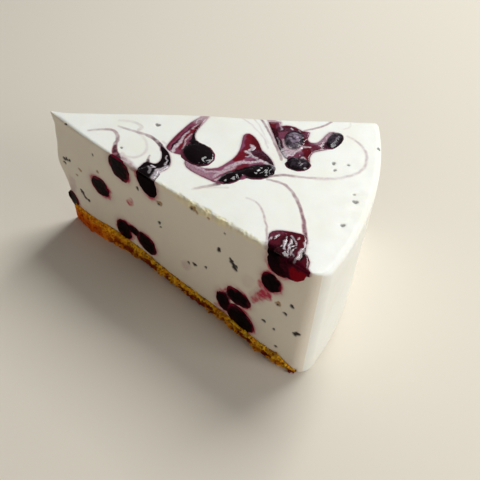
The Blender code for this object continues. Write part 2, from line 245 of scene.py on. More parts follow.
def cut_bow(side, distance, height):
    """How far a knife cut stands out from a flat plane."""
    s, h = distance / CAKE_RADIUS, height / CAKE_HEIGHT
    if side == NEAR:
        top = 5.6 * s * (1 - s) * (1.9 - 1.8 * s)
        low = 0.9 * hill(s, 0.10, 0.08) - 0.8 * hill(s, 0.37, 0.14) + 1.7 * hill(s, 0.86, 0.12)
    else:
        top = 0.7 * hill(s, 0.45, 0.25)
        low = 1.1 * hill(s, 0.80, 0.18) - 0.5 * hill(s, 0.25, 0.12)
    return (top * h + low * (1 - h)) * MM


def crust_top(from_tip):
    thinned = ease((from_tip - 18 * MM) / (28 * MM))
    run_out = 1 - 0.7 * ease((from_tip - 85.5 * MM) / (6.5 * MM))
    return (CRUST_AT_TIP + (CRUST_AT_RIM - CRUST_AT_TIP) * thinned) * run_out


def about_tip(places):
    """Distance from the tip's upright line, and angle from the middle of the slice."""
    u, y = places[:, 0] - TIP_X, places[:, 1]
    return np.hypot(u, y), np.arctan2(y, u)


def off_knife(reach, angle, side):
    """Distance of each point from a cut's flat plane, into the slice."""
    return reach * np.sin(HALF - side * angle)


def sag(places):
    """Bow both knife cuts and swell the tip, fading towards the middle and the wall."""
    reach, angle = about_tip(places)
    height = np.clip(places[:, 2], 0, CAKE_HEIGHT)
    across = np.clip(0.5 + angle / SLICE_ANGLE, 0, 1)
    sagged = places.copy()
    for side, share, corner in ((NEAR, 1 - across, NEAR_CORNER_ROUND),
                                (FAR, across, FAR_CORNER_ROUND)):
        off_wall = ease(0.5 + 0.5 * (CAKE_RADIUS - reach) / corner) * 2 - 1
        bow = cut_bow(side, np.minimum(reach, CAKE_RADIUS), height)
        sagged += out_of_cut(side) * (bow * share * np.clip(off_wall, 0, 1))[:, None]
    swell = 1.8 * hill(height, 27 * MM, 7 * MM) - 0.5 * hill(height, 42.5 * MM, 2.5 * MM)
    sagged[:, 0] -= swell * MM * np.exp(-reach / (7 * MM))
    return sagged


print("near cut stands out", round(float(cut_bow(NEAR, 0.035, 0.047)) / MM, 2), "mm at the top")

# %% [markdown]
# ## The marks of jam and fruit
# Jam leaves thin strands and clouds in the cream. Each strand is written down as a run of
# points with its half width, the softness of its edge and its strength, from its start to
# its end. The strands are stored as amounts of four stains on the points of the mesh. An
# image would do the same, but this needs none, and stays sharp where the mesh is fine.

# %% Stains and how a strand is drawn
MAUVE, RED, DARK, WHITE = range(4)


def smooth_run(points, spans=8):
    """A smooth curve through the points, as many short straight pieces."""
    p = np.array(points, float)
    p = np.vstack([2 * p[0] - p[1], p, 2 * p[-1] - p[-2]])
    t = (np.arange(spans) / spans)[:, None]
    parts = [0.5 * (2 * b + (c - a) * t + (2 * a - 5 * b + 4 * c - d) * t ** 2
                    + (3 * b - a - 3 * c + d) * t ** 3)
             for a, b, c, d in zip(p, p[1:], p[2:], p[3:])]
    return np.vstack(parts + [p[-2]])


def distance_to_run(spots, run):
    """Each spot's distance from a run, and how far along the run that is, from 0 to 1."""
    start, step = run[:-1], run[1:] - run[:-1]
    length = np.hypot(*step.T)
    before = np.concatenate([[0], np.cumsum(length)[:-1]])
    best = np.full(len(spots), np.inf)
    way = np.zeros(len(spots))
    for a, d, size, so_far in zip(start, step, length, before):
        along = np.clip(((spots - a) @ d) / max(size * size, 1e-12), 0, 1)
        gap = np.hypot(*(spots - a - along[:, None] * d).T)
        closer = gap < best
        best[closer] = gap[closer]
        way[closer] = (so_far + along * size)[closer]
    return best, way / length.sum()


def draw_strands(spots, strands, widen=0.0):
    """Amounts of the four stains at spots, which are in millimetres."""
    amounts = np.zeros((len(spots), 4))
    for stain, points, halves, softness, strengths in strands:
        run = smooth_run(points)
        room = max(halves) + softness + widen + 0.3
        inside = np.all((spots > run.min(0) - room) & (spots < run.max(0) + room), axis=1)
        if not inside.any():
            continue
        gap, way = distance_to_run(spots[inside], run)
        half = halves[0] + (halves[1] - halves[0]) * way + widen
        strength = strengths[0] + (strengths[1] - strengths[0]) * way
        cover = strength * (1 - ease((gap - half) / softness))
        amounts[inside, stain] = np.maximum(amounts[inside, stain], cover)
    return amounts


def stir(spots, amount, size, shift=0.0):
    """Push spots about by smooth noise, so that what is drawn there looks stirred."""
    pushes = [[noise.noise(Vector((x / size, y / size, level))) for level in (shift, shift + 9)]
              for x, y in spots]
    return spots + amount * np.array(pushes).reshape(-1, 2)


def draw_spots(spots, centres, edge=0.45):
    """Cover from 0 to 1 of small ragged specks. Each is place, place and radius."""
    cover = np.zeros(len(spots))
    for x, y, radius in centres:
        away = spots - (x, y)
        near_by = np.hypot(*away.T) < radius * 2 + edge
        if near_by.any():
            a = away[near_by]
            turn = np.arctan2(a[:, 1], a[:, 0])
            ragged = 1 + 0.22 * np.sin(2 * turn + x) + 0.16 * np.sin(3 * turn + 2 * y)
            gap = np.hypot(*a.T) - radius * ragged
            cover[near_by] = np.maximum(cover[near_by], 1 - ease(gap / edge + 0.2))
    return cover


def store(piece, name, *columns):
    """Keep up to four amounts a point on the mesh, where a material can read them."""
    amounts = np.zeros((len(piece.data.vertices), 4), np.float32)
    for i, column in enumerate(columns):
        amounts[:, i] = column
    kept = piece.data.attributes.new(name, 'FLOAT_COLOR', 'POINT')
    kept.data.foreach_set("color", amounts.ravel())


# %% [markdown]
# The strands on top are the long thin hooks that the skewer left between the pools. Their
# points give distance from the tip and place across, in millimetres. Where much jam went
# in, a dark strand lies in a softer mauve one.

# %% Strands on top


def in_mauve(points, dark, mauve):
    """A dark strand in a mauve one. Each has its half widths, softness and strengths."""
    return [(DARK, points, *dark), (MAUVE, points, *mauve)]


TOP_STRANDS = [
    *in_mauve([(15.5, -3.7), (18.5, -2), (21.5, -1), (23.6, -1.8), (25.2, -4), (25.8, -6.5),
               (27, -9), (29, -11.2)],
              ((0.14, 0.48), 0.45, (0.30, 0.94)), ((0.06, 0.18), 0.78, (0.21, 0.51))),
    *in_mauve([(22.8, 1.3), (28, 1), (32.5, 0.7), (35.5, -0.3), (38, -2), (39.3, -3.6)],
              ((0.16, 0.48), 0.40, (0.27, 1.00)), ((0.06, 0.18), 0.60, (0.13, 0.47))),
    *in_mauve([(71, -4), (74, -3.9), (76.5, -4.5), (79, -6.5), (81.5, -9.5), (83.5, -13),
               (85, -16), (86.1, -19), (87, -22)],
              ((0.14, 0.36), 0.40, (0.45, 0.85)), ((0.08, 0.20), 0.60, (0.26, 0.59))),
    *in_mauve([(60.5, 20.7), (63, 18), (65.5, 14.8), (67.8, 11.6), (70.5, 7.6), (72.2, 5)],
              ((0.10, 0.16), 0.35, (0.60, 0.65)), ((0.08, 0.08), 0.52, (0.34, 0.34))),
    *in_mauve([(74.5, 20), (77, 22), (79.5, 24.5), (81, 27)],
              ((0.17, 0.23), 0.35, (0.41, 0.52)), ((0.08, 0.08), 0.52, (0.47, 0.42))),
    (RED, [(26.1, -7.4), (27.3, -9.6), (28.6, -11.4)], (0.4, 0.8), 0.5, (0.6, 1)),
    (DARK, [(25.9, -6.9), (27.2, -9.2), (29.3, -11.8)], (0.3, 1.0), 0.5, (0.9, 1)),
    (MAUVE, [(30, 0.5), (33, -1.6), (34.8, -4.4), (35, -7), (33.8, -9), (31.6, -9.9), (29.6, -9.4)],
     (0.06, 0.10), 0.69, (0.13, 0.36)),
    (DARK, [(21.5, 3.8), (25, 4.7), (27.6, 4.4), (29.4, 3.2), (29, 2)], (0.17, 0.34), 0.50,
     (0.11, 0.31)),
    (MAUVE, [(37.8, -0.2), (39, -0.8), (40, -1.2)], (0.12, 0.12), 0.52, (0.30, 0.42)),
    (DARK, [(70.4, -3.2), (73, -1.5), (76, -0.3), (79, 0.2), (83, 1.3)], (0.34, 0.17), 0.35,
     (0.81, 0.20)),
    (MAUVE, [(70.4, -3.2), (73, -1.5), (76, -0.3), (79, 0.2), (83, 1.3), (87, 2.6), (90, 4.2),
             (93, 7), (94.6, 10), (94.8, 13), (94, 16.5), (92.5, 19), (90, 21), (87.2, 22.3)],
     (0.10, 0.06), 0.69, (0.47, 0.30)),
    (MAUVE, [(83, 1.2), (86, 2.1), (89, 3.6), (91.5, 5.4)], (0.14, 0.10), 0.78, (0.30, 0.34)),
    (DARK, [(91, 5), (93, 7), (94.6, 10), (94.8, 13), (94, 16.5), (92.5, 19), (90, 21)],
     (0.14, 0.14), 0.40, (0.19, 0.26)),
    (DARK, [(79, -6.5), (81, -8.9), (83.4, -12.8), (85, -16), (86.2, -19), (87.2, -22)],
     (0.10, 0.30), 0.28, (0.5, 1)),
    (RED, [(82.5, -11), (84.4, -15), (86, -19), (87, -22)], (0.2, 0.5), 0.4, (0.2, 0.6)),
    (MAUVE, [(68.2, -12.8), (71, -13.3), (73, -15), (75, -18), (76.5, -21), (77.6, -24),
             (78.6, -28)], (0.05, 0.08), 0.52, (0.26, 0.42)),
    (DARK, [(71, -13.3), (73, -15), (75, -18), (76.5, -21), (77.6, -24), (78.6, -28)],
     (0.07, 0.14), 0.30, (0.27, 0.45)),
    (DARK, [(59.4, -10.4), (58, -11.6), (56, -13), (53.5, -15)], (0.40, 0.17), 0.40, (0.94, 0.16)),
    (MAUVE, [(62, -11), (58, -12.6), (54, -14.6)], (0.06, 0.06), 0.52, (0.30, 0.17)),
    (MAUVE, [(55, 18.9), (59, 16.8), (62.5, 14), (65, 11.5), (67, 8.5)], (0.04, 0.05), 0.44,
     (0.26, 0.30)),
    (MAUVE, [(85.5, 25), (86.8, 27), (86.5, 28.5)], (0.05, 0.05), 0.44, (0.21, 0.21)),
    (MAUVE, [(29.4, -9.8), (32, -11.4), (35, -13.2)], (0.4, 0.4), 1.1, (0.45, 0.55)),
    (DARK, [(30.4, -10.9), (31.8, -11.6), (32.6, -12.4)], (0.29, 0.34), 0.50, (0.54, 0.39)),
    (DARK, [(33.4, -12.4), (35.6, -13.6)], (0.23, 0.23), 0.50, (0.47, 0.52)),
    (DARK, [(36.9, -7), (37.3, -8.6), (38, -10.2)], (0.09, 0.34), 0.35, (0.54, 1.00)),
    (DARK, [(63.4, 19), (66, 15.2), (68.6, 11.2), (72.2, 5.4)], (0.06, 0.09), 0.30, (0.41, 0.72)),
    (MAUVE, [(58.6, 19.8), (61, 17.6), (64, 13.8), (66.4, 10.6)], (0.05, 0.05), 0.35, (0.3, 0.15)),
    (MAUVE, [(66, 22.6), (67.2, 20.6), (67.6, 18.8)], (0.1, 0.1), 0.5, (0.5, 0.6)),
    (MAUVE, [(44.6, 12.5), (44.2, 15.4)], (0.5, 0.9), 0.9, (0.6, 0.2)),
]
TOP_SPECKS = [
    (33.2, 6.2, 0.6), (86.3, 9.1, 0.45), (90.3, 10, 0.3), (87.3, 6.5, 0.32), (95.5, -3.6, 0.55),
    (94.4, -13, 0.45), (97, 20.2, 0.45), (28, -7, 0.28), (94.6, -1, 0.2),
]
print("strands on top:", len(TOP_STRANDS))

# %% [markdown]
# On the cuts the fruit leaves crimson fringes and one pink smear. There are also small dark
# specks, holes painted nearly black as painted shade. These points give distance from the
# tip along the cut and height.

# %% Smears and specks on the cuts
NEAR_STRANDS = [
    (RED, [(84.4, 31.4), (83.6, 29), (83.8, 26.8)], (1.4, 1.1), 0.9, (1.1, 1.0)),
    (RED, [(83.0, 27.4), (81.4, 24.8)], (1.2, 1.1), 0.8, (1.0, 0.95)),
    (RED, [(80.8, 24.0), (79.2, 21.0)], (0.8, 0.6), 0.8, (0.8, 0.65)),
    (DARK, [(69.6, 13.4), (70.6, 15.4), (72.2, 16.8)], (1.1, 1.0), 0.7, (1, 1)),
    (DARK, [(70.4, 9.4), (72.6, 9.6)], (1.2, 1.2), 0.7, (1, 1)),
    (RED, [(68.4, 14.6), (70.0, 17.4), (72.4, 19.6)], (0.5, 0.5), 0.8, (0.8, 0.8)),
    (MAUVE, [(83.8, 31), (82.8, 28), (80.9, 24.6), (78.8, 21.2)], (1.6, 1.2), 1.8, (0.4, 0.3)),
    (RED, [(31.2, 28.2), (31.9, 28.8), (32.3, 29.8)], (0.8, 0.6), 0.9, (0.8, 0.6)),
    (RED, [(29.4, 11), (30, 12.6), (31, 14)], (1.0, 1.0), 0.9, (0.55, 0.6)),
    (RED, [(66.6, 5.2), (68.4, 5.6), (70, 6.4)], (1.2, 1.2), 1.2, (0.6, 0.6)),
    (RED, [(81.6, 30), (82.4, 32.6), (82.6, 35.4)], (0.9, 0.7), 0.9, (0.75, 0.5)),
    (MAUVE, [(3.6, 20.5), (2.8, 17.5), (1.8, 15.5)], (0.8, 0.8), 1.6, (0.25, 0.35)),
    (DARK, [(7.2, 18.2), (7.9, 16.6), (9.8, 14.8)], (0.38, 0.25), 0.35, (1, 1)),
    (DARK, [(6.8, 16.9), (8.3, 15.1)], (0.3, 0.22), 0.3, (1, 0.8)),
    (MAUVE, [(53.4, 15), (54.4, 17)], (0.8, 0.8), 1.6, (0.28, 0.22)),
    (MAUVE, [(77, 27), (78, 29)], (1.2, 1.2), 2.0, (0.14, 0.12)),
]
# distance, height and radius: dark specks, painted shade in small holes, then toasted ones
NEAR_SPECKS = [
    (71.3, 32.4, 0.6), (71.8, 31.2, 0.8), (72.5, 29.9, 0.85), (73.1, 31.0, 0.5), (67.0, 33.5, 0.6),
    (66.6, 32.8, 0.35), (57.4, 19.1, 0.7), (55.0, 18.0, 0.42), (61.9, 21.3, 0.42),
    (92.1, 29.6, 0.6), (90.1, 24.6, 0.5), (83.3, 14.9, 0.55), (86.9, 14.1, 0.3),
    (94.2, 18.4, 0.7), (94.9, 19.1, 0.75), (88.1, 6.3, 0.42), (43.8, 28.0, 0.5),
    (44.2, 26.4, 0.3), (36.0, 37.2, 0.5), (46.2, 45.6, 0.6), (46.9, 46.3, 0.5),
    (17.6, 39.3, 0.25), (7.0, 45.4, 0.35), (30.0, 42.9, 0.3), (69.0, 41.6, 0.25),
    (2.8, 29.2, 0.5), (3.8, 29.6, 0.55), (5.0, 29.7, 0.4), (2.7, 27.4, 0.45), (7.7, 17.6, 0.35),
    (7.5, 16.4, 0.35), (8.7, 15.4, 0.35), (10.0, 15.2, 0.35), (57.1, 43.0, 0.3),
    (44.4, 36.2, 0.3), (87.4, 26.2, 0.3),
]
NEAR_BROWN = [
    (44.8, 36.9, 0.9), (57.8, 43.4, 0.75), (58.9, 43.2, 0.6), (63.4, 43.6, 0.35),
    (87.6, 27.0, 0.9), (18.3, 33.0, 0.5), (9.4, 28.4, 0.5), (7.2, 24.8, 0.35),
]
draw = np.random.default_rng(7)
FAR_SPECKS = [(draw.uniform(6, 95), draw.uniform(9, 45), draw.uniform(0.2, 0.8))
              for _ in range(26)]
print("specks:", len(TOP_SPECKS) + len(NEAR_SPECKS) + len(FAR_SPECKS))

# %% [markdown]
# The cut berries are part of the filling's story as well: each stains the cream round it.
# A row is distance from the tip, height, half width, half height, tilt in degrees and reach
# into the cake. The rows are the ones that the solids were made from.

# %% Where the berries sit
NEAR_BERRIES = [
    (1.5, 10.7, 2.2, 3.2, 8, 2.2), (19.5, 28.0, 3.8, 3.7, 0, 3.9), (31.1, 43.0, 3.9, 4.3, 0, 3.9),
    (42.3, 44.4, 3.8, 5.6, 4, 4.4), (26.6, 12.7, 3.1, 4.6, -14, 3.4),
    (36.7, 13.1, 4.0, 4.5, 0, 4.0),
    (31.6, 15.6, 2.5, 2.0, 0, 3.0), (85.7, 35.0, 2.9, 3.4, 0, 3.4), (75.2, 18.7, 4.2, 3.3, 20, 3.8),
    (76.5, 9.0, 5.2, 5.0, 0, 4.6), (69.2, 11.6, 2.7, 4.0, 0, 3.2), (87.4, 43.6, 3.9, 4.5, 0, 5.0),
]
FAR_BERRIES = [
    (13.0, 31.5, 3.3, 3.6, 0, 3.0), (24.5, 15.0, 4.0, 3.7, 12, 3.8), (38.0, 36.0, 3.9, 3.4, 0, 3.8),
    (53.0, 23.0, 3.5, 4.2, 15, 3.9), (64.0, 9.6, 4.5, 4.1, 0, 4.2), (70.5, 42.4, 3.7, 5.2, 0, 4.4),
    (82.5, 27.0, 3.4, 3.4, 0, 3.6), (90.5, 13.5, 2.9, 3.3, -10, 3.2),
]
CUTS = {
    NEAR: (NEAR_BERRIES, NEAR_STRANDS, NEAR_SPECKS, NEAR_BROWN),
    FAR: (FAR_BERRIES, [], FAR_SPECKS, []),
}
SEEN_SHIFT = (1.32, 1.50)


def seen_flat(spots, side):
    """Marks on the cut were read as if it were flat. It bows out towards the eye, so each
    spot was seen a little nearer the tip and lower, by this much for each millimetre."""
    bow = cut_bow(side, spots[:, 0] * MM, spots[:, 1] * MM) / MM
    return spots - bow[:, None] * SEEN_SHIFT


def past_berries(spots, rows):
    """How far each spot on a cut lies outside the nearest berry, in millimetres."""
    nearest = np.full(len(spots), 99.0)
    for distance, height, wide, high, tilt, _ in rows:
        angle = math.radians(tilt)
        away = spots - (distance, height)
        along = away @ (math.cos(angle), math.sin(angle))
        up = away @ (-math.sin(angle), math.cos(angle))
        size = np.hypot(along / wide, up / high)
        nearest = np.minimum(nearest, (size - 1) * np.sqrt(wide * high))
    return nearest


print("cut berries:", len(NEAR_BERRIES), "near and", len(FAR_BERRIES), "far")

# %% [markdown]
# ## The filling
# A wedge of cake is what a spin makes: the flat near cut turned about the tip's upright
# line. So the filling starts as a fine grid that stands on the near cut, and is spun
# through the angle of the slice. A block cut with a knife tool would have no fine mesh to
# carry the strands.

# %% Filling: a grid spun about the tip


def spun_wedge(name, radius, height, cells, turns, merge):
    """A wedge from the board up: a grid of cells on the near cut, spun about the tip."""
    bpy.ops.object.select_all(action='DESELECT')
    middle = along_cut(NEAR) * radius / 2
    bpy.ops.mesh.primitive_grid_add(
        x_subdivisions=cells[0], y_subdivisions=cells[1], size=1.0,
        location=(TIP_X + middle[0], middle[1], height / 2), rotation=(math.pi / 2, 0, -HALF))
    wedge = bpy.context.object
    wedge.name = name
    wedge.scale = (radius, height, 1)
    bpy.ops.object.transform_apply(location=True, rotation=True, scale=True)
    edit_faces(wedge)
    bpy.ops.mesh.spin(steps=turns, angle=-SLICE_ANGLE, center=(TIP_X, 0, 0), axis=(0, 0, 1))
    bpy.ops.mesh.select_all(action='SELECT')
    bpy.ops.mesh.remove_doubles(threshold=merge)
    bpy.ops.mesh.normals_make_consistent(inside=False)
    stop_editing()
    return wedge


filling = spun_wedge("cream_filling", CAKE_RADIUS, CAKE_HEIGHT, cells=(150, 48), turns=104,
                     merge=0.045 * MM)
reach, angle = about_tip(places_of(filling))
print("filling spun:", len(filling.data.polygons), "faces over",
      round(math.degrees(np.ptp(angle[reach > MM])), 2), "degrees")

# %% [markdown]
# The outer wall reaches down to the board, past the crust's end. The faces under the last
# few millimetres are extruded down for it. The rest of the underside is hidden by the
# crust, so its faces are dissolved into one.

# %% Filling: the skirt and the underside
SKIRT_STEPS = 6


def under_faces(piece):
    """Which faces look down at the board, and how far from the tip each face is."""
    middles, facing = face_middles(piece), face_normals(piece)
    return (np.abs(middles[:, 2]) < 0.01 * MM) & (facing[:, 2] < -0.9), about_tip(middles)[0]


under, reach = under_faces(filling)
edit_faces(filling, under & (reach > SKIRT_FROM))
for step in range(SKIRT_STEPS):
    bpy.ops.mesh.extrude_region_move(TRANSFORM_OT_translate={"value": (0, 0, -1 * MM)})
stop_editing()
under, reach = under_faces(filling)
edit_faces(filling, under & (reach < SKIRT_FROM))
bpy.ops.mesh.dissolve_faces(use_verts=True)
stop_editing()
print("underside dissolved:", len(filling.data.polygons), "faces left")

# %% [markdown]
# Rows of points are then drawn towards the edges, where the shape turns, and the bottom row
# is laid on the crust, which is thicker at the tip.

# %% Filling: closer rows at the edges


def draw_to_end(value, start, power):
    """Values past start crowd towards 1."""
    past = np.clip((value - start) / (1 - start), 0, 1)
    return np.where(value > start, start + (1 - start) * (1 - (1 - past) ** power), value)


def lay_rows(places):
    reach, angle = about_tip(places)
    reach = CAKE_RADIUS * draw_to_end(reach / CAKE_RADIUS, 0.9, 1.8)
    part = 0.5 + angle / SLICE_ANGLE
    part = 0.4 * part + 0.6 * (0.5 - 0.5 * np.cos(math.pi * part))
    angle = (part - 0.5) * SLICE_ANGLE
    laid = np.column_stack([TIP_X + reach * np.cos(angle), reach * np.sin(angle), places[:, 2]])
    bottom = crust_top(laid[:, 0] - TIP_X)
    high = draw_to_end(np.clip(places[:, 2] / CAKE_HEIGHT, 0, 1), 0.85, 2.0)
    in_skirt = bottom * (1 + places[:, 2] / (SKIRT_STEPS * MM))
    above = bottom + (CAKE_HEIGHT - bottom) * high
    laid[:, 2] = np.where(places[:, 2] < -0.001 * MM, in_skirt, above)
    return laid


move_to(filling, lay_rows(places_of(filling)))
print("filling height:", round(places_of(filling)[:, 2].max() / MM, 2), "mm")

# %% [markdown]
# Faces that carry a strand, a fringe or a speck are subdivided, so that a mark finer than a
# millimetre has points to sit on. Faces under a pool of jam are left coarse, because the
# jam covers them.

# %% Filling: finer faces under the marks


def on_top(places):
    """Spots on top, in millimetres: distance from the tip along X, and place across."""
    return np.column_stack([places[:, 0] - TIP_X, places[:, 1]]) / MM


def on_cut(places):
    """Spots on a cut, in millimetres: distance from the tip, and height."""
    return np.column_stack([about_tip(places)[0], places[:, 2]]) / MM


def tree_of(node):
    mesh = node.data
    return BVHTree.FromPolygons([v.co for v in mesh.vertices], [p.vertices for p in mesh.polygons])


jam_names = ["jam_ribbon", "jam_band", "jam_star", "jam_crescent", "jam_spill"]
trees = {name: tree_of(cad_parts[name]) for name in jam_names}


def gap_to_jam(places, reach_out):
    """Distance of each point from the nearest pool of jam."""
    gaps = np.full(len(places), reach_out)
    for i, p in enumerate(places):
        for tree in trees.values():
            hit = tree.find_nearest(Vector(p), reach_out)
            if hit[0] is not None:
                gaps[i] = min(gaps[i], hit[3])
    return gaps


def under_jam(place):
    """True where jam covers a place and all that is close to it."""
    around = [(0, 0), (0.7, 0), (-0.7, 0), (0, 0.7), (0, -0.7)]
    down = Vector((0, 0, -1))
    for dx, dy in around:
        start = Vector((place[0] + dx * MM, place[1] + dy * MM, CAKE_HEIGHT + 2 * MM))
        if not any(tree.ray_cast(start, down)[0] for tree in trees.values()):
            return False
    return True


def sides_of(places):
    """Which points or faces belong to the top, the near cut and the far cut."""
    reach, angle = about_tip(places)
    top = places[:, 2] > CAKE_HEIGHT - 0.02 * MM
    near = (off_knife(reach, angle, NEAR) < 0.02 * MM) & ~top
    far = (off_knife(reach, angle, FAR) < 0.02 * MM) & ~top
    return top, near, far


def wider(specks):
    """The same specks with room for their relief round them."""
    return [(x, y, radius + 0.5) for x, y, radius in specks]


middles = face_middles(filling)
top, near, far = sides_of(middles)
sagged = sag(middles)
spots = on_top(sagged)
drawn = draw_strands(spots, TOP_STRANDS, widen=0.35).max(axis=1) > 0.03
drawn |= draw_spots(spots, wider(TOP_SPECKS)) > 0
close = np.zeros(len(middles), bool)
close[top] = gap_to_jam(sagged[top], 0.9 * MM) < 0.8 * MM
marked = top & (drawn | close)
marked &= [not (on and under_jam(place)) for place, on in zip(sagged, marked)]
for side, on_side in ((NEAR, near), (FAR, far)):
    rows, strands, specks, browns = CUTS[side]
    spots = on_cut(middles)
    fringe = np.abs(past_berries(spots, rows) - 0.4) < 1.3
    spots = seen_flat(spots, side)
    smear = draw_strands(spots, strands, widen=0.2).max(axis=1) > 0.05
    speck = draw_spots(spots, wider(specks + browns)) > 0
    marked |= on_side & (fringe | smear | speck)
reach, angle = about_tip(middles)
at_lip = (off_knife(reach, angle, NEAR) < 1.3 * MM) & (middles[:, 2] > CAKE_HEIGHT - 2.6 * MM)
marked |= at_lip & (np.abs(reach - LIP_AT) < 19 * MM)
edit_faces(filling, marked)
bpy.ops.mesh.subdivide(number_cuts=2, smoothness=0)
stop_editing()
print("faces refined:", int(marked.sum()), "now", triangles(filling), "triangles")

# %% [markdown]
# The straight wedge is eased into shape: the upright corners at the wide end are round, the
# rim is soft and the knife left its own edges nearly sharp, except where jam ran over one.
# A square patch of points at an edge is pressed onto a quarter circle, and then the whole
# wedge sags.

# %% Filling: rounded edges


def press_round(across, down, radius):
    """Move points that lie within radius of both faces onto a round edge."""
    zone = (across < radius) & (down < radius) & (radius > 0)
    p, q = np.where(zone, radius - across, 0), np.where(zone, radius - down, 0)
    shrink = np.maximum(p, q) / np.maximum(np.hypot(p, q), 1e-12)
    return np.where(zone, radius - p * shrink, across), np.where(zone, radius - q * shrink, down)


def round_corners(reach, angle):
    """Press the two upright corners at the wide end round."""
    for side, radius in ((NEAR, NEAR_CORNER_ROUND), (FAR, FAR_CORNER_ROUND)):
        off_cut, off_wall = off_knife(reach, angle, side), CAKE_RADIUS - reach
        pressed, new_off_wall = press_round(off_cut, off_wall, np.full(len(reach), radius))
        moved = (pressed != off_cut) | (new_off_wall != off_wall)
        new_reach = np.where(moved, CAKE_RADIUS - new_off_wall, reach)
        ratio = np.clip(pressed / np.maximum(new_reach, 1e-9), -1, 1)
        angle = np.where(moved, side * (HALF - np.arcsin(ratio)), angle)
        reach = new_reach
    return reach, angle


def run_over(reach, spill_width, crescent_share):
    """How far each place along the near cut is rounded for jam that ran over it."""
    return np.maximum(hill(reach, SPILL_AT, spill_width),
                      crescent_share * hill(reach, CRESCENT_AT, 5 * MM))


def knife_round(reach, side):
    """The radius of the top edge along a cut."""
    knife = KNIFE_ROUND + 0.7 * MM * hill(reach, 0, 32 * MM)
    knife = knife + 0.9 * MM * hill(reach, 66 * MM, 17 * MM)
    over = run_over(reach, 6.5 * MM, 0.7) * (side == NEAR)
    return np.maximum(knife, (RUN_OVER_ROUND + 0.3 * MM) * over)


def round_edges(places):
    """Round the corners, then the top edge by how much of it is cut and how much is wall."""
    reach, angle = round_corners(*about_tip(places))
    rounded = np.column_stack([TIP_X + reach * np.cos(angle), reach * np.sin(angle), places[:, 2]])
    side = np.where(angle < 0, NEAR, FAR)
    off_cut, off_wall = off_knife(reach, angle, side), CAKE_RADIUS - reach
    corner = np.where(side == NEAR, NEAR_CORNER_ROUND, FAR_CORNER_ROUND)
    to_cut = np.maximum(corner - off_cut, 0)
    to_wall = np.maximum(corner - off_wall, 0)
    size = np.maximum(np.hypot(to_cut, to_wall), 1e-12)
    in_corner = (to_cut > 0) & (to_wall > 0)
    wall_share = np.where(in_corner, to_wall / size, (off_wall < off_cut) * 1.0)
    cut_share = np.where(in_corner, to_cut / size, (off_wall >= off_cut) * 1.0)
    depth = np.where(in_corner, corner - size, np.minimum(off_cut, off_wall))
    knife = np.minimum(knife_round(reach, side), 0.25 * reach)
    radius = knife * cut_share ** 2 + RIM_ROUND * wall_share ** 2
    new_depth, new_down = press_round(depth, CAKE_HEIGHT - places[:, 2], radius)
    radial = np.column_stack([np.cos(angle), np.sin(angle), np.zeros(len(side))])
    way = out_of_cut(side) * cut_share[:, None] + radial * wall_share[:, None]
    rounded -= way * (new_depth - depth)[:, None]
    rounded[:, 2] = CAKE_HEIGHT - new_down
    rounded[:, 0] += 0.35 * np.maximum(TIP_BLUNT - reach, 0)
    return rounded


straight = places_of(filling)
top, near, far = sides_of(straight)
cut_spots = on_cut(straight)
shaped = sag(round_edges(straight))
move_to(filling, shaped)
top_spots = on_top(shaped)
print("filling box:", (shaped.min(0) / MM).round(2), (shaped.max(0) / MM).round(2))

# %% [markdown]
# Now the marks go on. Specks are also pressed in a little, because a speck is a hole where
# a crumb or a seed was, and each is painted nearly black as the shade in that hole. The
# top lip of the near cut is ragged past the middle.

# %% Filling: stains and specks on top
PIT, BROWN, CUT, LIP = range(4)
stains = np.zeros((len(straight), 4))
spoils = np.zeros((len(straight), 4))
high_up = straight[:, 2] > CAKE_HEIGHT - 1.2 * MM
wander = lumps(shaped, 1.4 * MM)
patches = lumps(shaped, 3.4 * MM, 5.5)
stains[high_up] = draw_strands(stir(top_spots[high_up], 0.22, 1.8), TOP_STRANDS)
stains[high_up] *= np.clip(0.9 + 0.5 * wander[high_up], 0, 1)[:, None]
spoils[top, PIT] = draw_spots(top_spots[top], TOP_SPECKS) * 0.75
gap = np.full(len(straight), 9 * MM)
gap[high_up] = gap_to_jam(shaped[high_up], 1.5 * MM)
halo = np.exp(-(np.maximum(gap, 0) / (0.42 * MM)) ** 2) * 0.75
stains[:, MAUVE] = np.maximum(stains[:, MAUVE], halo)
print("stained points on top:", int((stains.max(axis=1) > 0.1).sum()))

# %% Filling: stains and specks on the cuts
for side, on_side in ((NEAR, near), (FAR, far)):
    rows, strands, specks, browns = CUTS[side]
    spots = cut_spots[on_side]
    outside = np.maximum(past_berries(spots, rows), 0)
    wandering, patchy = wander[on_side], patches[on_side]
    fringe_width = 0.75 + 0.45 * wandering + 0.6 * np.clip(patchy, 0, 1)
    fringe = np.exp(-(outside / fringe_width) ** 3) * np.clip(0.8 + 1.3 * patchy, 0.2, 1)
    flat = seen_flat(spots, side)
    mixed = draw_strands(stir(flat, 0.5, 1.7), strands)
    mixed[:, RED] = np.maximum(mixed[:, RED] * np.clip(0.85 + 0.8 * wandering, 0, 1.2), fringe)
    mixed[:, MAUVE] = np.maximum(mixed[:, MAUVE], 0.3 * np.exp(-(outside / 1.8) ** 2))
    stains[on_side] = np.maximum(stains[on_side], mixed)
    spots = stir(flat, 0.2, 1.2)
    spoils[on_side, PIT] = draw_spots(spots, specks)
    spoils[on_side, BROWN] = draw_spots(spots, browns, edge=0.5) * 0.8
    spoils[on_side, CUT] = 1.0
store(filling, "stains", *stains.T)
print("specked points on the cuts:", int((spoils[near | far, PIT] > 0.1).sum()))

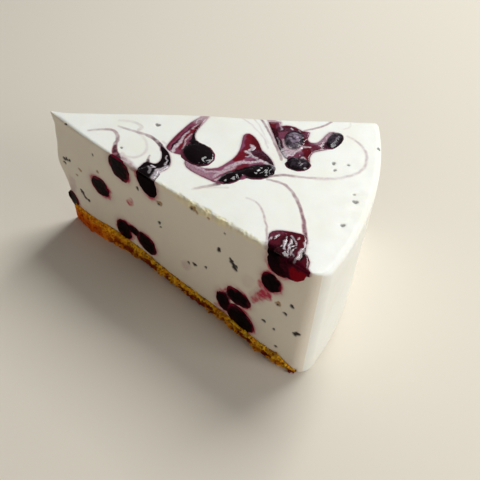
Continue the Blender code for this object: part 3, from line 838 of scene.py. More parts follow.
# %% Filling: the ragged lip and the relief
off_near = off_knife(*about_tip(straight), NEAR) / MM
lip = hill(cut_spots[:, 0], LIP_AT / MM, 17) * ease((cut_spots[:, 1] - 44.2 + 1.1 * wander) / 1.5)
lip *= 1 - ease((off_near - 0.5 - 0.6 * wander) / 0.8)
spoils[:, LIP] = lip * np.clip(0.75 + 0.9 * patches, 0.15, 1)
store(filling, "spoils", *spoils.T)
normals = point_normals(filling)
relief = 0.05 * lumps(shaped, 5 * MM, 3.1) + 0.018 * lumps(shaped, 1.1 * MM, 9.2)
relief -= 0.22 * spoils[:, PIT] + 0.12 * spoils[:, BROWN]
torn = 0.45 * lumps(shaped, 1.7 * MM, 4.4) + 0.3 * lumps(shaped, 0.7 * MM, 8.1)
relief += torn * spoils[:, LIP]
relief[straight[:, 2] < 0.02 * MM] = 0
move_to(filling, shaped + normals * (relief * MM)[:, None])
print("stained points:", int((stains.max(axis=1) > 0.1).sum()), "of", len(stains))

# %% [markdown]
# ## Materials
# Each finish is a node tree built one node at a time. These helpers add the few kinds of
# node that all the finishes share.

# %% Helpers for materials


def add_node(tree, kind, settings=None, sockets=None):
    """Add a node. A socket is given a value, or another node's output to link."""
    made = tree.nodes.new(kind)
    for key, value in (settings or {}).items():
        setattr(made, key, value)
    for key, value in (sockets or {}).items():
        if isinstance(value, bpy.types.NodeSocket):
            tree.links.new(value, made.inputs[key])
        else:
            made.inputs[key].default_value = value
    return made


def new_finish(name, **values):
    """A material whose plain values sit on the shader's own sockets."""
    made = bpy.data.materials.new(name)
    made.use_nodes = True
    shader = made.node_tree.nodes["Principled BSDF"]
    for socket, value in values.items():
        shader.inputs[socket.replace("_", " ")].default_value = value
    return made, made.node_tree, shader


def grain(tree, size, detail=3.0, shift=0.0, stretch=(1, 1, 1)):
    """Noise on the object's own coordinates, with lumps of this size."""
    here = add_node(tree, 'ShaderNodeTexCoord').outputs["Object"]
    scale = tuple(s / size for s in stretch)
    moved = add_node(tree, 'ShaderNodeMapping', sockets={
        "Vector": here, "Location": (shift, shift * 0.7, shift * 1.3), "Scale": scale}).outputs[0]
    return add_node(tree, 'ShaderNodeTexNoise', sockets={
        "Vector": moved, "Scale": 1.0, "Detail": detail}).outputs["Fac"]


def crumbs_pattern(tree, size, shift=0.0):
    """Distance from the middle of the nearest of many cells of this size."""
    here = add_node(tree, 'ShaderNodeTexCoord').outputs["Object"]
    moved = add_node(tree, 'ShaderNodeMapping', sockets={
        "Vector": here, "Location": (shift, shift, shift), "Scale": (1 / size,) * 3}).outputs[0]
    cells = add_node(tree, 'ShaderNodeTexVoronoi', sockets={"Vector": moved, "Scale": 1.0})
    return cells.outputs["Distance"], cells.outputs["Color"]


def between(tree, value, low, high, to_low=0.0, to_high=1.0):
    """Spread a value from low..high to another range."""
    return add_node(tree, 'ShaderNodeMapRange', {"interpolation_type": 'SMOOTHSTEP'}, {
        "Value": value, "From Min": low, "From Max": high,
        "To Min": to_low, "To Max": to_high}).outputs[0]


def times(tree, a, b):
    return add_node(tree, 'ShaderNodeMath', {"operation": 'MULTIPLY'}, {0: a, 1: b}).outputs[0]


def plus(tree, a, b):
    return add_node(tree, 'ShaderNodeMath', {"operation": 'ADD'}, {0: a, 1: b}).outputs[0]


def larger(tree, a, b):
    return add_node(tree, 'ShaderNodeMath', {"operation": 'MAXIMUM'}, {0: a, 1: b}).outputs[0]


def colour_of(colour):
    return (*colour, 1.0) if isinstance(colour, tuple) else colour


def tint(tree, amount, below, above):
    """One colour shading into another by an amount."""
    mixed = add_node(tree, 'ShaderNodeMix', {"data_type": 'RGBA'}, {
        0: amount, 6: colour_of(below), 7: colour_of(above)})
    return mixed.outputs[2]


def kept(tree, name):
    """The four amounts stored on the mesh under a name."""
    node = add_node(tree, 'ShaderNodeAttribute', {"attribute_name": name})
    parts = add_node(tree, 'ShaderNodeSeparateColor', sockets={0: node.outputs["Color"]})
    return parts.outputs[0], parts.outputs[1], parts.outputs[2], node.outputs["Alpha"]


def rough_up(tree, shader, height, distance):
    """Tilt the surface by a height pattern."""
    tilted = add_node(tree, 'ShaderNodeBump', sockets={"Height": height, "Distance": distance})
    tree.links.new(tilted.outputs[0], shader.inputs["Normal"])


# %% [markdown]
# ## Finish of the filling
# Baked cream is close to white and a little translucent, so light goes a millimetre or two
# into it. The stains are laid over it one by one, each broken up by fine noise. Where
# the knife went, the cream is matt and slightly grainy. It is also warmer and a little
# darker there: partly the inner cream's own colour, partly painted warm shade.

# %% Finish: cream
CREAM, CREAM_WARM = (0.90, 0.905, 0.855), (0.88, 0.87, 0.80)
CREAM_CUT_AND_WARM_SHADE, CREAM_LIP = (0.86, 0.775, 0.655), (0.93, 0.83, 0.50)
TOASTED, PIT_PAINTED_SHADE = (0.34, 0.17, 0.025), (0.018, 0.008, 0.008)
STAIN_MAUVE = (0.36, 0.13, 0.21)
STAIN_RED = (0.52, 0.012, 0.065)
STAIN_DARK = (0.030, 0.006, 0.014)
STAIN_THIN = (0.23, 0.055, 0.10)


def lay_stains(tree, colour, amounts, breaking):
    """Mauve, red and then dark jam over the cream. Dark jam is plum where it is thin."""
    mauve, red, dark, _ = amounts
    colour = tint(tree, times(tree, mauve, breaking), colour, STAIN_MAUVE)
    colour = tint(tree, times(tree, red, breaking), colour, STAIN_RED)
    deep = tint(tree, between(tree, dark, 0.35, 1.0), STAIN_THIN, STAIN_DARK)
    return tint(tree, times(tree, dark, breaking), colour, deep)


def make_cream():
    made, tree, shader = new_finish(
        "cream_filling", Roughness=0.45, Specular_IOR_Level=0.35,
        Subsurface_Radius=(1.0, 0.75, 0.5), Subsurface_Scale=1.6 * MM)
    pit, brown, cut, lip = kept(tree, "spoils")
    colour = tint(tree, between(tree, grain(tree, 9 * MM), 0.35, 0.7), CREAM, CREAM_WARM)
    # cut faces: warmer, darker cream, partly its own colour and partly painted warm shade
    colour = tint(tree, times(tree, cut, 0.85), colour, CREAM_CUT_AND_WARM_SHADE)
    breaking = between(tree, grain(tree, 0.7 * MM, shift=3.0), 0.2, 0.6, 0.72, 1.05)
    stained = kept(tree, "stains")
    colour = lay_stains(tree, colour, stained, breaking)
    clear = between(tree, larger(tree, pit, stained[DARK]), 0.0, 0.8, 0.2, 0.0)
    tree.links.new(clear, shader.inputs["Subsurface Weight"])
    colour = tint(tree, times(tree, lip, 0.9), colour, CREAM_LIP)
    colour = tint(tree, brown, colour, TOASTED)
    # painted shade: each speck's hole is painted nearly black
    colour = tint(tree, pit, colour, PIT_PAINTED_SHADE)
    tree.links.new(colour, shader.inputs["Base Color"])
    gloss = between(tree, grain(tree, 3 * MM, shift=8.0), 0.3, 0.7, 0.34, 0.5)
    tree.links.new(plus(tree, gloss, times(tree, cut, 0.12)), shader.inputs["Roughness"])
    fine = grain(tree, 0.5 * MM, detail=4.0, shift=5.0)
    fine = times(tree, fine, plus(tree, times(tree, cut, 0.6), 0.25))
    coarse = times(tree, grain(tree, 1.6 * MM, shift=2.0), cut)
    rough_up(tree, shader, plus(tree, fine, coarse), 0.06 * MM)
    return made


filling.data.materials.append(make_cream())
only(filling)
bpy.ops.object.shade_smooth()
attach(filling, "root")
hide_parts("filling")
print("filling:", triangles(filling), "triangles")

# %% [markdown]
# ## Pools of jam
# The pools are soft shapes let into the top. Each starts as copies of its solid, of the
# solids of the berries sunk in it, and of a few drops that join the two. A voxel remesh
# gives them one even fine skin, a few rounds of smoothing give it the rounded edge of a
# thick liquid, and a little swelling closes the clearance that the solids need.

# %% Jam: what runs through each pool
# For each pool: the stains all over it, then the strands drawn in it. Some white strands
# are painted glints on the wet jam; the rest are pale marbling.
JAM = {
    "jam_ribbon": ((0.62, 0.3, 0, 0), [
        (RED, [(43.6, -1), (43.5, 4), (44, 8), (44.6, 12)], (0.5, 0.4), 0.5, (0.8, 0.8)),
        (RED, [(40.2, -1.5), (40.4, 2), (41, 6)], (0.3, 0.3), 0.4, (0.6, 0.5)),
        (DARK, [(48.2, -3), (47.8, -0.6), (46.9, 1.8), (46.1, 3.8), (45.5, 5.8),
         (45.1, 8)], (1.5, 0.5), 0.6, (1, 1)),
        (DARK, [(45.0, 6), (44.8, 9), (44.9, 11.5)], (0.5, 0.3), 0.4, (0.8, 0.5)),
        (WHITE, [(42.2, -3), (42.4, 0), (42.6, 3), (43.2, 7)], (0.55, 0.12), 0.3, (0.85, 0.6)),
        (WHITE, [(44.3, -1), (43.9, 3), (44.2, 6)], (0.16, 0.12), 0.22, (0.75, 0.5)),
        (WHITE, [(43.6, 8), (44.0, 10.5)], (0.14, 0.14), 0.2, (0.6, 0.6)),
        (DARK, [(41.4, -2.4), (41.7, 1), (42.1, 5), (42.9, 8.5)], (0.24, 0.12), 0.22, (1, 0.7)),
        (WHITE, [(43.6, 12.4), (44.4, 16), (45, 18)], (0.9, 2), 1.9, (0.3, 1.0)),
        (WHITE, [(43.4, 11), (44.6, 15.6)], (0.14, 0.2), 0.25, (0.6, 0.9)),
    ]),
    "jam_band": ((0.72, 0.1, 0, 0), [
        (RED, [(60.9, 11.6), (62.6, 9.8), (64.4, 7.6)], (1.2, 1.2), 0.6, (1, 1)),
        (DARK, [(61.8, 11), (63.2, 9.4), (64.6, 7.6)], (0.5, 0.8), 0.9, (0.35, 0.6)),
        (RED, [(60.6, 0.8), (61.5, 4), (61.3, 7), (60.5, 10.5)], (0.9, 0.5), 0.7, (0.9, 0.8)),
        (DARK, [(63.6, 4.4), (66.2, 4.8), (68.8, 3.4)], (1.3, 1.4), 0.9, (0.75, 0.9)),
        (DARK, [(66, 5.6), (69, 3.8), (71.2, 1)], (0.9, 1.0), 0.5, (0.8, 0.95)),
        (RED, [(65.4, 4.4), (67.4, 3.6)], (0.5, 0.5), 0.6, (0.5, 0.6)),
        (WHITE, [(62.5, 7.4), (63.0, 6.5), (62.5, 5.4)], (0.36, 0.3), 0.3, (0.9, 0.85)),
        (WHITE, [(61.6, 4.6), (63.4, 4.0), (64.2, 2.9),
         (65.6, 2.6)], (0.3, 0.2), 0.35, (0.9, 0.6)),
        (WHITE, [(58.8, -4.6), (60.4, -2.2), (62.2, -0.4),
         (64.6, 0.6)], (0.3, 0.24), 0.5, (0.6, 0.7)),
        (WHITE, [(50.6, -6.6), (54, -7.2), (57.4, -6.6),
         (59.4, -4.8)], (0.2, 0.2), 0.5, (0.55, 0.5)),
        (WHITE, [(62.2, 2.4), (63.2, 3.2), (63.0, 4.6)], (0.16, 0.16), 0.25, (0.6, 0.6)),
        (RED, [(60.6, 0.4), (61.6, 1.8), (61.4, 3.6)], (0.7, 0.7), 0.4, (1, 0.9)),
        (DARK, [(71.4, -0.4), (69.4, -0.6), (66.4, -1.9), (63.9, -3.9), (61.9, -6.2),
         (60.2, -8.8)], (1.3, 1.3), 0.5, (1, 1)),
        (RED, [(63.4, -1.4), (61.6, -3.6), (60.2, -6.2)], (0.7, 0.5), 0.8, (0.75, 0.5)),
        (WHITE, [(63.9, 0.3), (66.3, 1.9), (69.3, 1.8),
         (71.5, 0.5)], (0.28, 0.3), 0.28, (0.75, 0.85)),
        (DARK, [(64.6, 1.4), (67, 2.6), (70, 2.1)], (0.3, 0.3), 0.4, (0.5, 0.5)),
        (WHITE, [(57, -8.7), (58.4, -6.4), (60, -4.6),
         (61.3, -2.6)], (0.3, 0.2), 0.4, (0.6, 0.5)),
        (WHITE, [(58.2, -9.6), (59.4, -7.4), (60.9, -5.6)], (0.16, 0.16), 0.25, (0.6, 0.6)),
        (WHITE, [(59.6, -3.2), (61.2, -0.8), (62.6, 0.4)], (0.2, 0.14), 0.3, (0.45, 0.5)),
        (WHITE, [(48.4, -6.2), (52.4, -7.8), (56.6, -8.6)], (0.9, 0.7), 1.0, (0.3, 0.2)),
    ]),
    "jam_star": ((0.72, 0.2, 0.3, 0), [
        (RED, [(63.5, 20.8), (65.3, 18), (66.8, 15.6)], (1.1, 0.8), 0.6, (1, 0.8)),
        (WHITE, [(63, 22.4), (64.4, 20.4)], (0.8, 0.5), 1.0, (0.5, 0.2)),
        (DARK, [(65.8, 16.6), (68.2, 13.2), (70.6, 9.4), (72.7, 6)], (0.9, 0.6), 0.5, (0.85, 1)),
        (RED, [(67.6, 14.8), (69.6, 11.2), (71.8, 7.4)], (0.2, 0.25), 0.3, (0.7, 0.9)),
        (WHITE, [(68, 13.8), (70, 10.6), (71.6, 8)], (0.1, 0.1), 0.22, (0.35, 0.3)),
        (DARK, [(68, 17.4), (70.4, 18.6), (73.6, 18.2)], (0.9, 0.7), 0.8, (0.75, 0.6)),
        (RED, [(68.6, 19.6), (71.5, 20), (74.6, 19)], (0.4, 0.4), 0.5, (0.6, 0.6)),
        (WHITE, [(66.5, 20.8), (67.4, 18.9), (68.1, 17.6)], (0.2, 0.12), 0.25, (0.65, 0.5)),
        # painted glints: these two small white strands paint highlights on the star's wet red top
        (WHITE, [(70.7, 19.3), (71.5, 19.0)], (0.2, 0.15), 0.2, (0.8, 0.8)),
        (WHITE, [(73.2, 19.2), (73.7, 18.6)], (0.12, 0.12), 0.2, (0.7, 0.7)),
        (MAUVE, [(72.4, 6.9), (74, 8.8), (75.6, 11)], (1.2, 1.6), 0.7, (1, 1)),
        (WHITE, [(72.3, 7.2), (73.6, 9.4), (75, 11.4)], (0.8, 1.0), 0.9, (0.7, 0.6)),
        (WHITE, [(70.2, 13.2), (71.8, 10.9), (74.6, 11.4)], (0.2, 0.3), 0.5, (0.6, 0.7)),
        (WHITE, [(70.6, 16.2), (72.2, 17.0), (74.4, 16.6)], (0.14, 0.14), 0.3, (0.7, 0.6)),
        (DARK, [(74.2, 8), (75.2, 9.6), (75.6, 10.8)], (0.45, 0.3), 0.4, (0.75, 0.6)),
        (WHITE, [(70.9, 8.6), (72.8, 10.8), (75.4, 12.2),
         (78.4, 13.0)], (0.3, 0.2), 0.4, (0.7, 0.65)),
        (WHITE, [(73.0, 6.3), (74.9, 8.8), (76.0, 11.4)], (0.16, 0.14), 0.22, (0.95, 0.8)),
        (DARK, [(76.6, 6.6), (77.4, 8.2), (77.2, 9.8)], (0.7, 0.5), 0.5, (0.85, 0.5)),
        (WHITE, [(76.9, 7.4), (78.0, 8.4), (78.4, 7.2)], (0.14, 0.14), 0.22, (0.7, 0.6)),
        (RED, [(77.4, 12), (78.6, 9.6), (79.4, 6.8), (79.0, 4.6)], (1.0, 0.6), 0.6, (1, 1)),
        (DARK, [(78.6, 11), (79.2, 8.4)], (0.4, 0.4), 0.7, (0.45, 0.5)),
        (RED, [(75.8, 15.4), (77.4, 13.7), (80, 13.2)], (0.7, 0.5), 0.8, (0.8, 0.5)),
        (DARK, [(69.4, 18.6), (71.6, 18.9), (75.2, 17.6),
         (76.2, 15.4)], (0.9, 0.5), 0.9, (0.7, 0.5)),
        (DARK, [(75.6, 16.2), (76.6, 14.9)], (0.6, 0.5), 0.6, (0.5, 0.6)),
        (MAUVE, [(79.6, 15.8), (81.2, 17.6), (82.2, 20.6)], (0.9, 1.1), 0.8, (0.9, 1)),
        (WHITE, [(79.8, 16.0), (81.0, 17.8), (82, 20.6)], (0.6, 0.8), 1.0, (0.3, 0.4)),
        (WHITE, [(80.6, 14.6), (81.4, 15.4)], (0.14, 0.14), 0.2, (0.6, 0.6)),
        (DARK, [(82.4, 15.4), (83.6, 17.6), (83.4, 21)], (1.0, 0.9), 0.7, (0.8, 0.8)),
    ]),
    "jam_crescent": ((0.0, 0.1, 1.0, 0), [
        (RED, [(39.6, -4.2), (41.4, -5.6), (42.4, -7.4)], (0.5, 0.6), 0.6, (0.8, 0.3)),
        (DARK, [(41, -4.8), (42.8, -7.4), (42.6, -10)], (0.7, 0.9), 0.6, (0.6, 1)),
        # the thin bright white strands here are partly pale marbling and partly painted highlights
        (WHITE, [(41.5, -5.6), (42.5, -7.4), (42.5, -9.2)], (0.1, 0.12), 0.2, (0.7, 0.75)),
        (WHITE, [(39.4, -10.6), (40.4, -11.2), (40.0, -11.9)], (0.2, 0.12), 0.25, (0.95, 0.9)),
        (MAUVE, [(43.2, -10.4), (42.2, -12.6), (42.6, -15.5)], (0.7, 1.1), 0.7, (1, 1)),
        (WHITE, [(43.4, -10), (42.4, -12.2), (42.6, -15.6)], (0.5, 0.9), 0.7, (0.7, 0.75)),
        (DARK, [(43.6, -9.6), (43.0, -12), (42.9, -15)], (0.12, 0.12), 0.22, (0.8, 0.6)),
        (WHITE, [(38.6, -11.4), (39.8, -12.8), (40.2, -14)], (0.14, 0.14), 0.3, (0.5, 0.4)),
    ]),
    "jam_spill": ((0.05, 0.55, 0.45, 0), [
        (MAUVE, [(77.8, -25), (78.6, -22.4), (80.4, -21)], (0.7, 0.5), 0.7, (0.95, 0.6)),
        # the thin white strands of the spill are partly pale marbling and partly painted glints on
        # its wet top
        (WHITE, [(78.2, -25.6), (79.0, -23.6)], (0.08, 0.08), 0.26, (0.7, 0.7)),
        (WHITE, [(79.9, -22.2), (79.7, -23.2)], (0.10, 0.07), 0.21, (0.8, 0.7)),
        (DARK, [(83.2, -23.4), (83.6, -26), (84.6, -29)], (1.8, 1.6), 1.0, (0.8, 0.85)),
        (DARK, [(80.6, -27), (82, -30), (84, -33)], (1.4, 2.0), 1.2, (0.85, 0.95)),
        (WHITE, [(83.2, -21.4), (84.4, -22.2), (85.0, -23.8)], (0.10, 0.05), 0.21, (0.6, 0.7)),
        (WHITE, [(82.2, -23.6), (82.6, -25.2), (82.9, -26.6)], (0.15, 0.15), 0.21, (0.85, 0.9)),
        (WHITE, [(83.6, -22.6), (83.4, -24.4), (84.2, -25.8)], (0.11, 0.08), 0.19, (0.8, 0.85)),
        (WHITE, [(84.6, -24.0), (83.9, -25.4), (84.4, -27.2)], (0.08, 0.07), 0.17, (0.8, 0.7)),
        (WHITE, [(85.4, -24.6), (85.0, -26.2), (85.6, -27.6)], (0.06, 0.06), 0.17, (0.6, 0.6)),
        (MAUVE, [(85.2, -26.6), (85.0, -28.6), (84.6, -30)], (0.5, 0.4), 0.4, (0.9, 0.8)),
        (WHITE, [(86.9, -24.4), (86.7, -27), (86.3, -29.2)], (0.18, 0.15), 0.26, (0.7, 0.8)),
        (WHITE, [(87.2, -20.6), (87.3, -23.6)], (0.08, 0.10), 0.26, (0.6, 0.7)),
        (DARK, [(87.7, -22), (87.8, -25.6), (87.7, -28)], (0.2, 0.3), 0.3, (0.7, 0.95)),
        (RED, [(86.0, -21.2), (86.4, -23.4)], (0.8, 0.5), 0.5, (1, 1)),
        (RED, [(87.6, -29.0), (89.4, -30.6), (91, -34)], (1.2, 2.2), 1.2, (0.8, 0.9)),
        (DARK, [(83.4, -27.4), (85.6, -29.2), (88.2, -30.4)], (1.0, 0.7), 1.0, (0.9, 0.8)),
    ]),
}
# Where a pool runs over the near cut: distance along the cut, and height.
CUT_JAM = {
    "jam_spill": [
        (DARK, [(84.2, 45.5), (85.4, 42), (88, 39.8)], (2.4, 1.8), 1.4, (0.95, 0.9)),
        (DARK, [(87, 45), (88.6, 42)], (1.6, 1.6), 1.0, (0.8, 0.7)),
        (RED, [(91.8, 43.6), (92.4, 42.2), (94.2, 43.6)], (1.2, 1.8), 1.4, (1, 1)),
        (DARK, [(90.2, 46.6), (92.0, 46.4)], (0.7, 0.5), 1.0, (0.8, 0.5)),
        (RED, [(86, 38.4), (90, 39.4)], (0.5, 0.6), 0.6, (0.7, 0.9)),
    ],
    "jam_crescent": [
        (DARK, [(40.2, 47), (40.6, 42), (40, 37)], (4.4, 3.6), 1.4, (1, 1)),
        (RED, [(37.4, 46.4), (37, 44)], (0.5, 0.5), 0.8, (0.5, 0.5)),
        (RED, [(38.4, 37), (41, 36.6)], (0.35, 0.35), 0.6, (0.6, 0.6)),
    ],
}
CUT_JAM_ALL_OVER = (0, 0.25, 0.35, 0)
print("strands in the jam:", sum(len(strands) for _, strands in JAM.values()))

# %% Jam: where its edge is


def rim_of(node):
    """The edges where a pool's level top meets its sides, as pairs of points in millimetres."""
    mesh = node.data
    seen = {}
    for face in mesh.polygons:
        steep = abs(face.normal.z) < 0.6
        corners = [tuple(round(c / MM, 3) for c in mesh.vertices[i].co) for i in face.vertices]
        for a, b in zip(corners, corners[1:] + corners[:1]):
            if min(a[2], b[2]) > CAKE_HEIGHT / MM - 0.3:
                seen.setdefault(frozenset((a, b)), []).append(steep)
    pairs = [tuple(key) for key, kinds in seen.items()
             if len(key) == 2 and any(kinds) and not all(kinds)]
    return [np.array([(a[0] - TIP_X / MM, a[1]), (b[0] - TIP_X / MM, b[1])]) for a, b in pairs]


def past_rim(spots, node):
    """How far each spot is from the pool's edge, in millimetres."""
    nearest = np.full(len(spots), 9.0)
    for pair in rim_of(node):
        nearest = np.minimum(nearest, distance_to_run(spots, pair)[0])
    return nearest


print("edge of the ribbon:", len(rim_of(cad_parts["jam_ribbon"])), "straight pieces")

# %% [markdown]
# Each pool holds berries. The whole ones on the top keep their folds, and one has a clear
# lilac bloom. The crescent and the spill each hold a berry that the knife went
# through, and they run over the edge of the cut with it.

# %% Jam: sunk berries and the drops that join them
# distance from the tip, place across, half length, half width, turn, lilac bloom, folds
SUNK_BERRIES = {
    "jam_ribbon": {"berry_top_1": (49.6, -1.7, 4.6, 3.7, -35, 0.0, 0.3)},
    "jam_band": {"berry_top_2": (67.9, -2.1, 4.3, 2.6, 32, 0.0, 1.0),
                 "berry_top_3": (61.6, -7.0, 3.1, 1.8, 50, 0.0, 0.7)},
    "jam_star": {"berry_top_4": (73.0, 14.6, 4.0, 2.7, 100, 0.85, 0.6),
                 "berry_top_5": (84.2, 18.8, 3.8, 1.9, 80, 0.2, 1.1),
                 "berry_top_6": (77.1, 4.8, 3.1, 2.4, 15, 0.15, 1.3)},
    "jam_crescent": {"berry_near_4": None},
    "jam_spill": {"berry_near_12": None},
}
# distance from the tip, place across, radius
DROPS = {
    "jam_ribbon": [(46.4, 2.2, 1.7), (47.9, 1.2, 2.1), (49.2, 1.4, 1.6), (46.3, -1.4, 2.0),
                   (46.6, -3.4, 1.4)],
    "jam_band": [(65.2, -3.9, 1.7), (63.8, -5.1, 1.7), (66.6, -3.2, 1.6), (70.4, 0.4, 1.4),
                 (60.2, -9.2, 1.0)],
    "jam_star": [(75.2, 6.0, 1.5), (74.4, 12.6, 1.6), (74.8, 16.4, 1.4), (83.4, 16.6, 1.3)],
}
VOXEL = 0.2 * MM
SWELL = 0.17 * MM


def stick_together(name, node_names):
    """One mesh from copies of several solids, swollen until they touch."""
    copies = []
    for from_tip, across, radius in DROPS.get(name, []):
        bpy.ops.mesh.primitive_ico_sphere_add(subdivisions=3, radius=1.0)
        drop = bpy.context.object
        ball_at = places_of(drop) * (radius, radius, 0.8) * MM
        move_to(drop, ball_at + (TIP_X + from_tip * MM, across * MM, CAKE_HEIGHT - 0.35 * MM))
        copies.append(drop)
    for node_name in node_names:
        copied = bpy.data.objects.new(name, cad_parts[node_name].data.copy())
        bpy.context.scene.collection.objects.link(copied)
        copied.data.materials.clear()
        copies.append(copied)
    only(copies[-1])
    for copied in copies:
        copied.select_set(True)
    bpy.ops.object.join()
    joined = bpy.context.object
    joined.name = name
    edit_faces(joined)
    bpy.ops.mesh.remove_doubles(threshold=0.002 * MM)
    stop_editing()
    swell = joined.modifiers.new("swell", 'DISPLACE')
    swell.strength = SWELL
    swell.mid_level = 0.0
    bpy.ops.object.modifier_apply(modifier=swell.name)
    remesh = joined.modifiers.new("even_skin", 'REMESH')
    remesh.mode = 'VOXEL'
    remesh.voxel_size = VOXEL
    remesh.use_smooth_shade = True
    bpy.ops.object.modifier_apply(modifier=remesh.name)
    smooth = joined.modifiers.new("soft_edges", 'SMOOTH')
    smooth.factor = 0.5
    smooth.iterations = 8
    bpy.ops.object.modifier_apply(modifier=smooth.name)
    return joined


joined_pools = {name: stick_together(name, [name, *SUNK_BERRIES[name]]) for name in jam_names}
print("points in the pools:", [len(pool.data.vertices) for pool in joined_pools.values()])

# %% [markdown]
# The strands of each pool are drawn as those on the cream were, but stirred more. White
# strands stand up a little and dark ones sink. Over a sunk berry the jam is dark and
# follows its folds, and over the edge of the cut the stains of the cut take over.

# %% Jam: how the pools are shaped and stained


def over_berry(spots, berry, share, fade):
    """1 over this share of a sunk berry, fading to 0 outside it."""
    from_tip, across, long, wide, turned_by = berry[:5]
    angle = math.radians(turned_by)
    away = spots - (from_tip, across)
    a = away @ (math.cos(angle), math.sin(angle))
    b = away @ (-math.sin(angle), math.cos(angle))
    return 1 - ease((np.hypot(a / long, b / wide) - share) / fade)


def show_berries(name, spots, folding, amounts, ripple):
    """Darken and fold the jam over its sunk berries, and say how lilac each point is."""
    lilac = np.zeros(len(spots))
    for berry in filter(None, SUNK_BERRIES[name].values()):
        cover, core = over_berry(spots, berry, 0.98, 0.3), over_berry(spots, berry, 0.5, 0.6)
        bloom, folds = berry[5:]
        amounts[:, DARK] = np.maximum(amounts[:, DARK], cover)
        amounts[:, WHITE] *= 1 - 0.8 * cover
        lilac = np.maximum(lilac, core * bloom)
        ripple += folds * 0.16 * folding * cover
    return lilac


def turn_over(name, places, off_plane, amounts):
    """Blend in the stains of the near cut where the pool turns over its edge."""
    marks = draw_strands(stir(seen_flat(on_cut(places), NEAR), 0.5, 1.7), CUT_JAM[name])
    marks = np.maximum(marks, CUT_JAM_ALL_OVER)
    over = (1 - ease((off_plane - 0.5 * MM) / (1.6 * MM)))[:, None]
    over *= ease((CAKE_HEIGHT + 0.7 * MM - places[:, 2]) / (1.1 * MM))[:, None]
    return amounts + (marks - amounts) * over


def inside_bow(places, reach, side):
    """Distance of each point from a bowed cut, into the slice."""
    return cut_bow(side, reach, places[:, 2]) - (places - (TIP_X, 0, 0)) @ out_of_cut(side)


def fit_to_cuts(places):
    """Round a pool off over the near cut, and sink its ends inside the far one.

    It moves the places, and gives their distance from the near cut.
    """
    reach, _ = about_tip(places)
    off_cut = inside_bow(places, reach, NEAR) + 0.25 * MM
    down = CAKE_HEIGHT + 0.25 * MM - places[:, 2]
    over = RUN_OVER_ROUND * run_over(reach, 7 * MM, 0.75)
    new_off, new_down = press_round(off_cut, down, np.where((off_cut > 0) & (down > 0), over, 0))
    places += np.outer(off_cut - new_off, out_of_cut(NEAR))
    places[:, 2] += down - new_down
    off_far = inside_bow(places, reach, FAR)
    places -= np.outer(np.maximum(0.6 * MM - off_far, 0), out_of_cut(FAR))
    places[:, 2] -= 0.8 * MM * (1 - ease((off_far - 0.7 * MM) / (1.5 * MM)))
    return new_off


print("jam reaches over the near cut:", run_over(np.array([SPILL_AT, CRESCENT_AT]), 7 * MM, 0.75))

# %% Jam: make the pools


def finish_pool(name, pool):
    pool.name = name.replace("jam_", "pool_")
    places = places_of(pool) + point_normals(pool) * (1, 1, 0.0) * (0.10 * MM)
    base, strands = JAM[name]
    spots = on_top(places)
    marks = draw_strands(stir(stir(spots, 0.55, 1.9), 0.2, 0.7, 3.0), strands)
    amounts = np.maximum(marks, base)
    amounts[:, MAUVE] *= 1 - 0.85 * np.clip(marks[:, RED] * (1 - marks[:, MAUVE]), 0, 1)
    ripple = 0.05 * lumps(places, 2.2 * MM, 1.3) + 0.04 * lumps(places, 0.9 * MM, 6.1)
    ripple += 0.08 * marks[:, WHITE] - 0.05 * marks[:, DARK]
    folding = 1 - 2 * np.abs(lumps(places, 1.8 * MM, 3.0))
    lilac = show_berries(name, spots, folding, amounts, ripple)
    off_plane = off_knife(*about_tip(places), NEAR)
    on_side = (off_plane < 0.9 * MM) & (places[:, 2] < CAKE_HEIGHT - 0.5 * MM)
    if name in CUT_JAM:
        amounts = turn_over(name, places, off_plane, amounts)
    level = ease((places[:, 2] - (CAKE_HEIGHT - 0.6 * MM)) / (0.5 * MM)) * ~on_side
    inside = past_rim(spots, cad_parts[name])
    places[:, 2] += level * (ripple * ease(inside / 0.4) + 0.05) * MM
    places[:, 2] = np.minimum(places[:, 2], CAKE_HEIGHT + 1.25 * MM)
    off_cut = fit_to_cuts(places)
    move_to(pool, places)
    store(pool, "stains", *amounts.T)
    below = ease((CAKE_HEIGHT + 0.3 * MM - places[:, 2]) / (0.3 * MM))
    wet = 1 - (1 - ease((off_cut - 0.9 * MM) / (1.5 * MM))) * below
    wet *= np.clip(1 - 2.5 * lilac, 0.35, 1)
    smooth = np.clip(amounts[:, DARK] * (1 - amounts[:, WHITE]), 0, 1)
    # the third amount marks red jam on the cut side, for its painted glow
    store(pool, "skin", wet, smooth, amounts[:, RED] * on_side, lilac)
    return pool


pools = {name: finish_pool(name, pool) for name, pool in joined_pools.items()}
for name, pool in pools.items():
    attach(pool, "root")
    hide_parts(name, *SUNK_BERRIES[name])
    print(pool.name, triangles(pool), "triangles, top at",
          round(places_of(pool)[:, 2].max() / MM, 2), "mm")

# %% [markdown]
# Jam is a clear dark red gel with a wet skin. The same stains run through it as through the
# cream, but over a maroon body, and a coat gives the wet glint; some white strands are
# painted glints as well. Where red jam lies on the cut side it is brightened, a painted glow
# of light shining through it. The coat thins out where the knife wiped the jam, and on a
# berry's bloom.

# %% Finish: jam
JAM_DEEP, JAM_CLEAR = (0.05, 0.004, 0.013), (0.12, 0.009, 0.030)
JAM_MAUVE, JAM_RED = (0.34, 0.11, 0.195), (0.17, 0.003, 0.010)
JAM_BLACK, JAM_WHITE_AND_GLINT = (0.004, 0.0006, 0.0015), (0.80, 0.70, 0.76)
JAM_PAINTED_GLOW, BLOOM = (0.24, 0.003, 0.010), (0.30, 0.23, 0.31)


